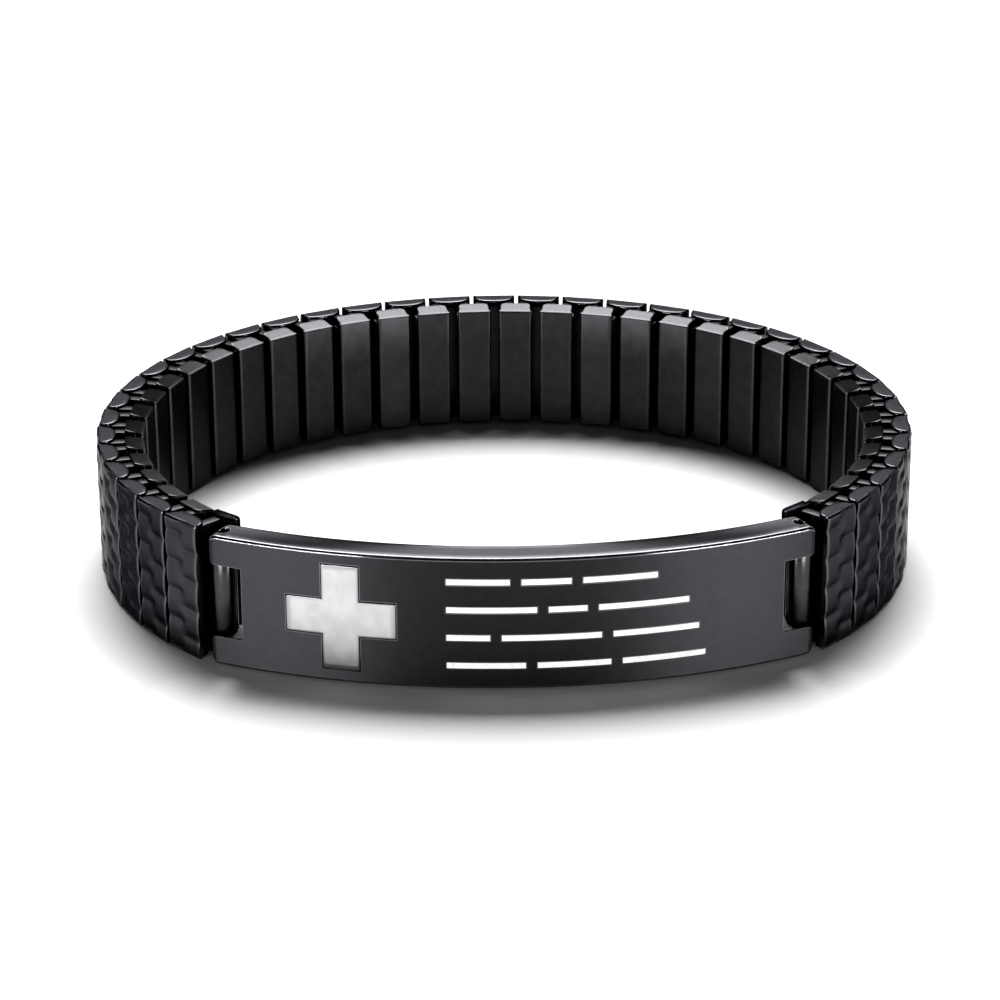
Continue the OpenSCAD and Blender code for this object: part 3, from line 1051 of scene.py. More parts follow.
@dataclass
class Band:
    """The expansion band: hammered outer links, plain inner links and staples."""

    loop: Loop
    height: float = BAND_H
    row_gap: float = 0.7
    outer_t: float = 1.75
    inner_t: float = 1.7
    outer_gap: float = 0.15
    inner_gap: float = 1.0
    face_t: float = 0.55
    mound_step: float = 2.6
    mound_z: float = 1.6
    relief: float = 0.20
    crease: float = 2.8
    column_blend: float = 1.0
    side_fade: float = 0.25
    outer_tab_bow: float = 1.2
    outer_rim: float = 0.13
    outer_dome: float = 0.04
    outer_tone: float = 0.75
    outer_lay_step: float = 7.3
    inner_slope: float = 11.0
    inner_lay_step: float = 5.7
    staple_w: float = 0.85
    staple_t: float = 0.3
    staple_play: float = 0.06
    staple_offset: float = 0.82
    staple_leg: float = 1.6
    staple_edge_r: float = 0.09
    staple_bend_r: float = 0.2
    staple_bend_lines: int = 5
    staple_edge_lines: int = 3
    seed: int = 11

    @property
    def outer_w(self) -> float:
        """Width of an outer link."""
        return self.loop.pitch - self.outer_gap

    def mound_drop(self, x: np.ndarray, z: np.ndarray) -> np.ndarray:
        """Depth of the hammered face below the tops of its mounds.

        Two columns of mounds stand half a step apart. Along a column each mound falls with a power of
        the distance from its middle, and meets the next one in a crease. A soft step across the middle
        blends the columns, and the creases grow shallower towards the sides.

        Args:
            x: Place across the link.
            z: Height on the link.

        Returns:
            The depth at each point.
        """
        depths = []
        for low in (self.mound_z - self.mound_step / 2, self.mound_z):
            near = (z - low + self.mound_step / 2) % self.mound_step - self.mound_step / 2
            depths.append(np.abs(2 * near / self.mound_step) ** self.crease)
        share = soft_step(np.clip(0.5 + x / self.column_blend, 0, 1))
        fade = 1 - self.side_fade * (2 * x / self.outer_w) ** 2
        return self.relief * fade * (depths[0] * (1 - share) + depths[1] * share)

    def build_outer(self, material: bpy.types.Material) -> None:
        """Builds the hammered links, each a piece of its own with a tone of its own.

        Args:
            material: Their finish.
        """
        link = FoldedLink(
            width=self.outer_w,
            face_y=self.row_gap / 2 + self.outer_t,
            low_y=self.row_gap / 2,
            wall_t=self.face_t,
            tab_bow=self.outer_tab_bow,
            rim=self.outer_rim,
            dome=self.outer_dome,
            face_rows=27,
            half_columns=9,
            drop=self.mound_drop,
        )
        skin, sleeve = link.skin().welded(), link.sleeve().welded()
        rng = np.random.default_rng(self.seed)
        for i in range(1, self.loop.link_count + 1):
            along = self.loop.lead_in + (i - 0.5) * self.loop.pitch
            tone = self.outer_tone + (1 - self.outer_tone) * float(rng.random())
            copy = self.loop.on_band(along, tone, (0.0, self.outer_lay_step * i, 0.0))
            # the sleeve behind the face is darkened as painted shade, where shade falls between the links
            parts = [(skin, [copy]), (sleeve, [replace(copy, tone=PAINTED_SHADE_TONE)])]
            piece = make_piece(f"hammered_link_{i:02d}", parts)
            settle(piece, material, [f"outer_link_{i:02d}"])

    def build_inner(self, material: bpy.types.Material) -> None:
        """Builds the row of inner links as one piece: the link is drawn facing outwards and turned round.

        Args:
            material: Their finish.
        """
        link = FoldedLink(
            width=self.loop.pitch - self.inner_gap,
            face_y=self.row_gap / 2 + self.inner_t,
            low_y=self.row_gap / 2,
            wall_t=SHEET_T,
            fold_r=0.2,
            edge_r=0.2,
            tab_slope=math.radians(self.inner_slope),
        )
        skin, sleeve = link.skin().welded(), link.sleeve().welded()
        rng = np.random.default_rng(self.seed)
        copies = []
        for i in range(1, self.loop.link_count):
            along = self.loop.lead_in + i * self.loop.pitch
            place = self.loop.on_band(along, float(rng.random()), (0.0, self.inner_lay_step * i, 0.0))
            copies.append(replace(place, turn=place.turn @ turned(math.pi)))
        # the sleeves behind the faces are darkened as painted shade between the links
        painted_shade_sleeves = [replace(copy, tone=PAINTED_SHADE_TONE) for copy in copies]
        piece = make_piece("plain_inner_links", [(skin, copies), (sleeve, painted_shade_sleeves)])
        settle(piece, material, ["inner_links"])

    def staple(self, in_y: float, out_y: float) -> Shell:
        """One upper staple: a round-edged strip carried along a bridge with two bent legs.

        Args:
            in_y: Distance of the inner leg from the middle line.
            out_y: Distance of the outer leg.

        Returns:
            The closed strip.
        """
        top = self.height - SHEET_T - self.staple_play - self.staple_t / 2
        r = self.staple_bend_r
        turn = quarter(self.staple_bend_lines)[:, None]
        outer, inner = [[out_y, top - self.staple_leg]], [[-in_y, top - self.staple_leg]]
        bend = np.concatenate([out_y - r + r * np.cos(turn), top - r + r * np.sin(turn)], axis=1)
        back = np.concatenate([-in_y + r - r * np.sin(turn), top - r + r * np.cos(turn)], axis=1)
        path = np.concatenate([outer, bend, back, inner])
        way = np.gradient(path, axis=0)
        way /= np.hypot(way[:, :1], way[:, 1:])
        across = rounded_outline(self.staple_w, self.staple_t, self.staple_edge_r, self.staple_edge_lines)
        x = np.broadcast_to(across[:, 0], (len(path), len(across)))
        y = path[:, :1] + across[:, 1] * way[:, 1:]
        z = path[:, 1:] - across[:, 1] * way[:, :1]
        return Shell.tube(np.stack([x, y, z], axis=-1))

    def build_staples(self, material: bpy.types.Material, end_y: float) -> None:
        """Builds the two rows of staples, one piece at each edge of the band.

        Args:
            material: Their finish.
            end_y: Distance of the legs inside the end links from the middle line.
        """
        out_y = (self.row_gap / 2 + SHEET_T + self.row_gap / 2 + self.outer_t - self.face_t) / 2
        inner = self.staple(self.row_gap / 2 + self.inner_t / 2, out_y).welded()
        ends = self.staple(end_y, out_y).welded()
        rise = np.array([0, 0, self.height * MM])
        rng = np.random.default_rng(self.seed + 1)
        for name, lower in (("staples_upper", False), ("staples_lower", True)):
            rows: list[tuple[Solid, list[Copy]]] = [(inner, []), (ends, [])]
            for i, way in ((i, way) for i in range(1, self.loop.link_count + 1) for way in (-1, 1)):
                step = i - 1 if way < 0 else i
                at_end = step in (0, self.loop.link_count)
                along = self.loop.lead_in + step * self.loop.pitch - way * self.staple_offset
                place = self.loop.on_band(along, float(rng.random()))
                if lower:
                    place = replace(place, turn=place.turn @ HALF_TURN, shift=place.shift + rise)
                rows[at_end][1].append(place)
            piece = make_piece(name.replace("staples", "staple_row"), rows)
            settle(piece, material, [name])


def rounded_outline(width: float, height: float, radius: float, steps: int) -> np.ndarray:
    """Outline of a rectangle with four round corners, centred.

    Args:
        width: Side along the first axis.
        height: Side along the second axis.
        radius: Radius of the corners.
        steps: Points on each corner.

    Returns:
        Points (4 * steps, 2), counter-clockwise.
    """
    turn = quarter(steps)
    points = []
    for k, (sx, sy) in enumerate(((1, 1), (-1, 1), (-1, -1), (1, -1))):
        angle = turn + k * math.pi / 2
        middle = np.array([sx * (width / 2 - radius), sy * (height / 2 - radius)])
        points.append(middle + radius * np.stack([np.cos(angle), np.sin(angle)], axis=-1))
    return np.concatenate(points)


@dataclass(frozen=True)
class Dashes:
    """Table of the engraved dashes: the rows from the top one down, each with its dashes' lengths."""

    rows: tuple[Triple, ...] = ((5.2, 4.1, 6.2), (7.4, 3.2, 7.6), (3.6, 8.2, 7.3), (6.5, 6.1, 7.1))
    row_step: float = 2.45
    height: float = 0.55
    start: float = 5.6
    gap: float = 0.9
    middle_z: float = MIDDLE_Z

    def boxes(self) -> list[Box]:
        """Recesses of the dashes in the plate's face.

        Returns:
            Reach from, reach to, lower and upper edge of each dash.
        """
        found = []
        for r, row in enumerate(self.rows):
            z = self.middle_z + ((len(self.rows) - 1) / 2 - r) * self.row_step
            reach = -self.start
            for length in row:
                found.append((reach, reach + length, z - self.height / 2, z + self.height / 2))
                reach += length + self.gap
        return found


@dataclass
class Emblem:
    """The plain polished cross, bent to the plate's face and a little proud of it."""

    loop: Loop
    width: float = 9.2
    arm: float = 3.1
    corner_r: float = 0.15
    reach: float = 14.3
    depth: float = 0.38
    proud: float = 0.06
    bevel: float = 0.05
    play: float = 0.06
    middle_z: float = MIDDLE_Z
    side_lines: int = 9
    corner_lines: int = 4
    tip_lines: int = 7
    rim_rings: int = 4
    face_rings: int = 11

    def boxes(self) -> list[Box]:
        """Recess of the cross in the plate's face, as two bars.

        Returns:
            Reach from, reach to, lower and upper edge of each bar.
        """
        long, short = self.width / 2 + self.play, self.arm / 2 + self.play
        return [
            (-self.reach - x, -self.reach + x, self.middle_z - z, self.middle_z + z)
            for x, z in ((long, short), (short, long))
        ]

    def outline(self) -> np.ndarray:
        """Plan of the cross: one arm from inner corner to inner corner, turned four times about the middle.

        Returns:
            Points (count, 2), counter-clockwise.
        """
        half, tip, r = self.arm / 2, self.width / 2, self.corner_r
        turn = quarter(self.corner_lines)
        side = np.linspace(half, tip - r, self.side_lines)[:-1]
        low = np.stack([side, np.full_like(side, -half)], axis=-1)
        corner = np.stack([tip - r + r * np.sin(turn), -half + r - r * np.cos(turn)], axis=-1)
        end = np.linspace(-half + r, half - r, self.tip_lines)[1:-1]
        tip_edge = np.stack([np.full_like(end, tip), end], axis=-1)
        arm = np.concatenate([low, corner, tip_edge, (corner * [1, -1])[::-1], (low * [1, -1])[:0:-1]])
        c, s = np.array([1, 0, -1, 0]), np.array([0, 1, 0, -1])
        return np.concatenate([arm @ np.array([[c[k], s[k]], [-s[k], c[k]]]) for k in range(4)])

    def build(self, material: bpy.types.Material) -> None:
        """Builds the cross: its side, a quarter-round rim and rings that shrink to the middle.

        Args:
            material: Its finish.
        """
        plan = self.outline()
        ahead = np.roll(plan, -1, axis=0) - plan
        ahead /= np.hypot(ahead[:, :1], ahead[:, 1:])
        after = np.stack([-ahead[:, 1], ahead[:, 0]], axis=-1)
        before = np.roll(after, 1, axis=0)
        inward = (before + after) / (1 + np.sum(before * after, axis=1, keepdims=True))
        face = self.loop.plate_t / 2
        rings = [(plan, face - self.depth)]
        for turn in quarter(self.rim_rings):
            level = face + self.proud - self.bevel * (1 - math.sin(turn))
            rings.append((plan + inward * self.bevel * (1 - math.cos(turn)), level))
        rim = rings[-1][0]
        rings += [(rim * share, face + self.proud) for share in np.linspace(1, 0, self.face_rings)[1:]]
        face_r = self.loop.plate_bend_r + face
        points, lays = [], []
        for ring, depth in rings:
            x, z = ring.T
            points.append(self.loop.on_plate((x - self.reach) / face_r, depth, z + self.middle_z))
            lays.append(np.column_stack([x, np.full(len(ring), depth), z]))
        shell = Shell()
        shell.grid(np.stack(points), np.stack(lays), wrap=True)
        shell.face(points[0], lays[0])
        piece = make_piece("polished_cross", [(shell.welded(), [STAY])])
        settle(piece, material, ["emblem_cross"])


@dataclass
class IdPlate:
    """The curved identity plate: a notch between two pierced lugs at each end, recesses in its face."""

    loop: Loop
    dashes: Dashes
    emblem: Emblem
    height: float = 11.5
    middle_z: float = MIDDLE_Z
    edge_r: float = 0.25
    end: float = 0.8
    back_r: float = 1.2
    front_r: float = 0.5
    corner_r: float = 0.8
    notch_corner_r: float = 0.75
    notch_h: float = 6.4
    notch_reach: float = 2.25
    hole_r: float = 0.5
    hole_lip: float = 0.06
    wall: float = 0.012
    brim: float = 0.04
    dash_depth: float = 0.2
    recess_depth: float = 0.42
    step: float = 0.6
    arc_lines: int = 5
    deck_lines: int = 5
    flat_lines: int = 6
    round_lines: int = 13
    hole_margin: int = 4
    hole_rings: int = 6
    lip_rings: int = 4

    @property
    def face(self) -> float:
        """Depth of the front face."""
        return self.loop.plate_t / 2

    @property
    def face_r(self) -> float:
        """Bend radius of the front face."""
        return self.loop.plate_bend_r + self.face

    @property
    def wall_ways(self) -> tuple[float, ...]:
        """Places of the grid lines beside a recess wall, from its middle."""
        ways = (self.wall, self.brim, 2 * self.brim)
        return tuple(-way for way in ways) + ways

    def notch_angle(self, depth: np.ndarray) -> np.ndarray:
        """Turn at which a depth meets the flat wall of the right notch."""
        return self.loop.pin_angle - np.arcsin(self.notch_reach / (self.loop.plate_bend_r + depth))

    def middle_at(
        self, reach: np.ndarray, depth: np.ndarray, z: np.ndarray
    ) -> tuple[np.ndarray, np.ndarray]:
        """Points between the notches: the reach is measured on the front face and shared out at each depth.

        Args:
            reach: Length along the front face from the middle.
            depth: Distance outwards from the middle line.
            z: Height.

        Returns:
            The points and their pattern coordinates.
        """
        reach, depth, z = np.broadcast_arrays(reach, depth, z)
        share = reach / (self.face_r * self.notch_angle(np.float64(self.face)))
        lay = np.stack([reach, depth, z], axis=-1)
        return self.loop.on_plate(share * self.notch_angle(depth), depth, z), lay

    def lug_at(self, along: np.ndarray, depth: np.ndarray, z: np.ndarray) -> tuple[np.ndarray, np.ndarray]:
        """Points on a right lug: the length is measured flat, on the tangent at the pin.

        Args:
            along: Length from the pin towards the end.
            depth: Distance outwards from the middle line.
            z: Height.

        Returns:
            The points and their pattern coordinates.
        """
        along, depth, z = np.broadcast_arrays(along, depth, z)
        angle = self.loop.pin_angle + np.arcsin(along / (self.loop.plate_bend_r + depth))
        lay = np.stack([self.face_r * self.loop.pin_angle + along, depth, z], axis=-1)
        return self.loop.on_plate(angle, depth, z), lay

    def height_lines(self) -> np.ndarray:
        """Heights of the face's grid lines.

        They are the face's edges with two lines close to each, and each wall of a notch or recess with
        three lines close to it on each side. The lower half mirrors the upper one.

        Returns:
            The heights, rising.
        """
        half = self.height / 2 - self.edge_r
        lines = [half, half - self.wall, half - self.brim, self.notch_h / 2]
        lines += [self.notch_h / 2 + way for way in self.wall_ways]
        for _, _, low, high in self.dashes.boxes() + self.emblem.boxes():
            lines += [abs(z - self.middle_z) + way for z in (low, high) for way in self.wall_ways]
        lines = np.unique(np.round(lines, 4))
        return np.concatenate([self.middle_z - lines[::-1], self.middle_z + lines])

    def reach_lines(self) -> np.ndarray:
        """Places of the face's grid lines along the plate.

        Even ones, three close to each side of a recess wall, and three close to each notch.

        Returns:
            The places, rising.
        """
        limit = self.face_r * float(self.notch_angle(np.float64(self.face)))
        boxes = self.dashes.boxes() + self.emblem.boxes()
        walls = [x + way for box in boxes for x in box[:2] for way in self.wall_ways]
        ends = limit - np.array([way for way in self.wall_ways if way > 0])
        walls = np.unique(np.round(np.concatenate([walls, -ends, ends]), 4))
        even = np.linspace(-limit, limit, 2 * int(limit / self.step) + 1)
        clear = np.abs(even[1:-1, None] - walls[None]).min(axis=1) > self.brim
        return np.sort(np.concatenate([[-limit, limit], even[1:-1][clear], walls]))

    def arcs(self, front: np.ndarray, back: np.ndarray, top: np.ndarray) -> tuple[np.ndarray, ...]:
        """Depths and heights of the rounded long edges and of the flat deck between them.

        Args:
            front: Depth of the front face at each column.
            back: Depth of the back.
            top: Height of the upper edge.

        Returns:
            Depth and height of the front arc, of the deck and of the back arc, rows by columns.
        """
        r = self.edge_r
        turn = quarter(self.arc_lines)[:, None]
        rise = top - r + r * np.sin(turn)
        share = np.linspace(0, 1, self.deck_lines)[:, None]
        deck = (front - r) * (1 - share) + (back + r) * share
        return front - r + r * np.cos(turn), rise, deck, top + 0 * deck, back + r - r * np.cos(turn), rise

    def middle(self) -> Shell:
        """The part between the notches: face with recesses, back, upper and lower long edges.

        Returns:
            Its patches, open towards the lugs.
        """
        reach, z = self.reach_lines(), self.height_lines()
        x, zz = np.meshgrid(reach, z)
        depth = np.full_like(x, self.face)
        for boxes, deep in ((self.dashes.boxes(), self.dash_depth), (self.emblem.boxes(), self.recess_depth)):
            for x0, x1, z0, z1 in boxes:
                depth[(x > x0) & (x < x1) & (zz > z0) & (zz < z1)] = self.face - deep
        shell = Shell()
        shell.grid(*self.middle_at(x, depth, zz))
        shell.grid(*self.middle_at(x, np.full_like(x, -self.face), zz))
        flat = np.full_like(reach, self.face)
        top = np.full_like(reach, self.middle_z + self.height / 2)
        parts = self.arcs(flat, -flat, top)
        for depths, heights in zip(parts[::2], parts[1::2]):
            for way in (1, -1):
                level = self.middle_z + way * (heights - self.middle_z)
                shell.grid(*self.middle_at(reach[None], depths, level))
        return shell

    def rounding(self, along: np.ndarray, radius: float) -> np.ndarray:
        """Drop of a rounded corner of the plate's end at a length from the pin."""
        over = np.clip(along - (self.end - radius), 0, radius)
        return radius - np.sqrt(np.maximum(radius**2 - over**2, 0))

    def lug(self) -> Shell:
        """The upper right lug: its face, back and end, its pierced deck and the side in the notch.

        Returns:
            Its patches, open towards the plate's middle.
        """
        turn = quarter(self.round_lines)
        start = self.end - self.back_r
        flat = np.linspace(-self.notch_reach, start, self.flat_lines)[:-1]
        along = np.concatenate([flat, start + self.back_r * np.sin(turn)])
        front = self.face - self.rounding(along, self.front_r)
        back = -self.face + self.rounding(along, self.back_r)
        top = self.lug_top(along)
        low = self.lug_low(along)
        lines = self.height_lines()
        notch_z = self.middle_z + self.notch_h / 2
        lines = lines[lines > notch_z - CLOSE]
        share = ((lines - notch_z) / (lines[-1] - notch_z))[:, None]
        rows = low + share * (top - self.edge_r - low)
        front_y, front_z, deck, deck_z, back_y, back_z = self.arcs(front, back, top)
        shell = Shell()
        shell.grid(*self.lug_at(along[None], front + 0 * rows, rows))
        shell.grid(*self.lug_at(along[None], back + 0 * rows, rows))
        shell.grid(*self.lug_at(along[None], front_y, front_z))
        shell.grid(*self.lug_at(along[None], back_y, back_z))
        under = np.concatenate([front[None], deck, back[None]])
        first, last = self.hole_margin, len(along) - 1 - self.hole_margin
        near, hole, far = slice(0, first + 1), slice(first, last + 1), slice(last, None)
        for depth, level in ((deck, top), (under, low)):
            for cut in (near, far):
                shell.grid(*self.lug_at(along[None, cut], depth[:, cut], level[None, cut]))
        for side in (slice(0, 2), slice(-2, None)):
            shell.grid(*self.lug_at(along[None, hole], under[side, hole], low[None, hole]))
        self.pierce(shell, along[hole], deck[:, hole])
        cap_depth = np.concatenate([
            front[-1] + 0 * rows[:, -1], front_y[1:, -1], deck[1:, -1],
            back_y[::-1][1:, -1], back[-1] + 0 * rows[:-1, -1], under[::-1][1:-1, -1],
        ])
        cap_z = np.concatenate([
            rows[:, -1], front_z[1:, -1], deck_z[1:, -1],
            back_z[::-1][1:, -1], rows[::-1][1:, -1], low[-1] + 0 * under[1:-1, -1],
        ])
        shell.face(*self.lug_at(along[-1], cap_depth, cap_z))
        return shell

    def lug_top(self, along: np.ndarray) -> np.ndarray:
        """Height of the upper edge at a length from the pin."""
        return self.middle_z + self.height / 2 - self.rounding(along, self.corner_r)

    def lug_low(self, along: np.ndarray) -> np.ndarray:
        """Height of the lug's lower side at a length from the pin."""
        return self.middle_z + self.notch_h / 2 + self.rounding(along, self.notch_corner_r)

    def pierce(self, shell: Shell, along: np.ndarray, deck: np.ndarray) -> None:
        """Adds the pin hole: rings from a patch's border to the lip, down the wall and out again below.

        Args:
            shell: The lug's patches.
            along: Columns of the patch.
            deck: Depths of its lines, lines by columns.
        """
        grid_x = np.broadcast_to(along, deck.shape)
        border = [
            (slice(0, 1), slice(None)), (slice(1, None), slice(-1, None)),
            (slice(-1, None), slice(-2, None, -1)), (slice(-2, 0, -1), slice(0, 1)),
        ]
        x = np.concatenate([grid_x[b].ravel() for b in border])
        y = np.concatenate([deck[b].ravel() for b in border])
        angle = np.arctan2(y, x)
        c, s = np.cos(angle), np.sin(angle)
        lip = self.hole_r + self.hole_lip
        shares = np.linspace(0, 1, self.hole_rings)
        flat = [(x * (1 - share) + lip * c * share, y * (1 - share) + lip * s * share) for share in shares]
        rings = [(ring, self.lug_top(ring[0])) for ring in flat]
        for turn in quarter(self.lip_rings)[1:]:
            r = self.hole_r + self.hole_lip * (1 - math.sin(turn))
            rings.append(((r * c, r * s), self.lug_top(r * c) - self.hole_lip * (1 - math.cos(turn))))
        hole = (self.hole_r * c, self.hole_r * s)
        rings += [(ring, self.lug_low(ring[0])) for ring in [hole] + flat[::-1]]
        points, lays = zip(*(self.lug_at(*ring, z) for ring, z in rings))
        shell.grid(np.stack(points), np.stack(lays), wrap=True)

    def notch_wall(self) -> Shell:
        """The flat wall at the bottom of the right notch.

        Returns:
            Its one face.
        """
        lines = self.height_lines()
        half = self.notch_h / 2
        lines = lines[np.abs(lines - self.middle_z) < half + CLOSE]
        front, back = np.array([self.face]), np.array([-self.face])
        deck = self.arcs(front, back, np.array([self.middle_z + half]))[2][:, 0]
        depth = np.concatenate([self.face + 0 * lines, deck, -self.face + 0 * lines, deck[::-1]])
        high, low = self.middle_z + half + 0 * deck, self.middle_z - half + 0 * deck
        z = np.concatenate([lines, high, lines[::-1], low])
        shell = Shell()
        shell.face(*self.lug_at(-self.notch_reach, depth, z))
        return shell

    def build(self, material: bpy.types.Material) -> None:
        """Builds the plate out of its middle and four mirrored lugs.

        Args:
            material: Its finish.
        """
        shell = self.middle()
        upper = self.lug()
        ends = self.notch_wall()
        ends.join(upper)
        ends.join(upper.mirrored(2, self.middle_z))
        shell.join(ends)
        shell.join(ends.mirrored(0, 0.0))
        piece = make_piece("curved_plate", [(shell.welded(), [STAY])], sharp=50.0)
        settle(piece, material, ["id_plate"])


@dataclass
class HingePins:
    """The two pins, turned on a lathe with slightly domed ends."""

    loop: Loop
    radius: float = 0.47
    low_z: float = 0.85
    middle_z: float = MIDDLE_Z
    dome: float = 0.05
    chamfer: float = 0.08
    sides: int = 32
    dome_rings: int = 4

    def shell(self) -> Shell:
        """A profile of radius and height, from the lower end's middle to the upper one's, turned about Z.

        Returns:
            The pin as one patch.
        """
        share = np.linspace(0, 1, self.dome_rings)
        radii = np.concatenate([share * (self.radius - self.chamfer), [self.radius]])
        heights = np.concatenate([self.low_z + self.dome * (share**2 - 1), [self.low_z + self.chamfer]])
        radii = np.concatenate([radii, radii[::-1]])
        heights = np.concatenate([heights, 2 * self.middle_z - heights[::-1]])
        angle = np.linspace(0, 2 * math.pi, self.sides, endpoint=False)
        x, y = radii[:, None] * np.cos(angle), radii[:, None] * np.sin(angle)
        shell = Shell()
        shell.grid(np.stack([x, y, np.broadcast_to(heights[:, None], x.shape)], axis=-1), wrap=True)
        return shell

    def build(self, material: bpy.types.Material) -> None:
        """Builds both pins.

        Args:
            material: Their finish.
        """
        solid = self.shell().welded()
        for side, left in (("left", True), ("right", False)):
            piece = make_piece(f"pin_{side}", [(solid, [self.loop.on_hinge(left)])])
            settle(piece, material, [f"hinge_pin_{side}"])


@dataclass
class EndLinks:
    """The two black end links: a rounded body behind the plate's end and a rolled barrel in its notch."""

    loop: Loop
    height: float = BAND_H
    far: float = 3.31
    back: float = 0.2
    inner_y: float = -2.65
    outer_y: float = -1.6
    round_r: float = 0.8
    far_r: float = 0.1
    corner_lines: int = 9
    fold_r: float = 0.2
    fold_lines: int = 6
    web_t: float = 0.2
    web_sink: float = 0.1
    barrel_r: float = 1.0
    hole_r: float = 0.5
    barrel_h: float = 6.0
    barrel_sides: int = 72
    seam_w: float = 0.24
    seam_depth: float = 0.26
    seam_angle: float = 10.0
    seam_reach: float = 1.5
    seam_fade: float = 0.7
    lip: float = 0.05
    lip_bend: float = 0.3

    @property
    def leg_y(self) -> float:
        """Distance of the staples' legs inside the body from the band's middle line."""
        return -(self.outer_y + self.inner_y) / 2 - self.loop.hinge_inset

    def body_outline(self) -> np.ndarray:
        """Plan of the body: a bar whose end by the pin is round.

        Returns:
            Points (4 * corner_lines, 2), counter-clockwise.
        """
        turn = quarter(self.corner_lines)
        r, s, f = self.round_r, self.outer_y - self.inner_y - self.round_r, self.far_r
        x0, x1 = -self.far, -self.back
        near_low = np.stack([x1 - r + r * np.sin(turn), self.inner_y + r - r * np.cos(turn)], axis=-1)
        near_high = np.stack([x1 - s + s * np.cos(turn), self.outer_y - s + s * np.sin(turn)], axis=-1)
        far_high = np.stack([x0 + f - f * np.sin(turn), self.outer_y - f + f * np.cos(turn)], axis=-1)
        far_low = np.stack([x0 + f - f * np.cos(turn), self.inner_y + f - f * np.sin(turn)], axis=-1)
        return np.concatenate([near_low, near_high, far_high, far_low])

    def body(self) -> Shell:
        """The outline carried upwards, drawn in by a quarter circle at both edges.

        Returns:
            The body's patches.
        """
        outline = self.body_outline()
        ahead = np.roll(outline, -1, axis=0) - np.roll(outline, 1, axis=0)
        ahead /= np.maximum(np.hypot(ahead[:, :1], ahead[:, 1:]), TINY)
        inward = np.stack([-ahead[:, 1], ahead[:, 0]], axis=-1)
        turn = quarter(self.fold_lines)
        inset = self.fold_r * (1 - np.sin(turn))
        low = self.fold_r * (1 - np.cos(turn))
        inset = np.concatenate([inset, inset[::-1]])
        z = np.concatenate([low, self.height - low[::-1]])
        plan = outline[None] + inward[None] * inset[:, None, None]
        return Shell.tube([at_height(ring, level) for ring, level in zip(plan, z)])

    def barrel(self) -> Shell:
        """A tube whose outer loop dips into the seam by a soft step; its two ends have small round lips.

        The step's reach and the stretch over which it fades are shares of half the seam's width.

        Returns:
            The tube as one patch.
        """
        start = math.radians(self.seam_angle)
        angle = start + np.linspace(0, 2 * math.pi, self.barrel_sides, endpoint=False)
        half = self.seam_w / 2
        off = np.abs((angle - start + math.pi) % (2 * math.pi) - math.pi)
        dip = soft_step(np.clip((half * self.seam_reach - off) / (half * self.seam_fade), 0, 1))
        radius = self.barrel_r - self.seam_depth * dip
        hole = np.full_like(radius, self.hole_r)
        low = (self.height - self.barrel_h) / 2
        bend = self.lip * self.lip_bend
        lips = ((0.0, self.lip), (bend, bend), (self.lip, 0.0))
        rings = [(radius - inset, low + rise) for rise, inset in lips]
        rings += [(r, self.height - z) for r, z in rings[::-1]]
        rings += [(hole, self.height - low), (hole, low), rings[0]]
        c, s = np.cos(angle), np.sin(angle)
        points = np.stack([np.stack([r * c, r * s, np.full_like(c, z)], axis=-1) for r, z in rings])
        shell = Shell()
        shell.grid(points, wrap=True)
        return shell

    def web(self) -> Shell:
        """The strip of sheet that runs from the body into the barrel.

        Returns:
            The strip's patches.
        """
        low = (self.height - self.barrel_h) / 2
        x0, x1 = -self.barrel_r, -self.back
        y0, y1 = self.outer_y - self.web_sink, -self.barrel_r + self.web_t
        plan = np.array([[x0, y0], [x1, y0], [x1, y1], [x0, y1]])
        return Shell.tube([at_height(plan, low), at_height(plan, self.height - low)])

    def build(self, material: bpy.types.Material) -> None:
        """Builds both end links: the body in the coat's dark tone, the barrel in its light one.

        Args:
            material: Their finish.
        """
        shell = self.body()
        shell.join(self.web())
        body, barrel = shell.welded(), self.barrel().welded()
        for side, left in (("left", True), ("right", False)):
            place = self.loop.on_hinge(left)
            parts = [(body, [replace(place, tone=0.0)]), (barrel, [replace(place, tone=1.0)])]
            piece = make_piece(f"rolled_end_{side}", parts)
            settle(piece, material, [f"end_link_{side}"])


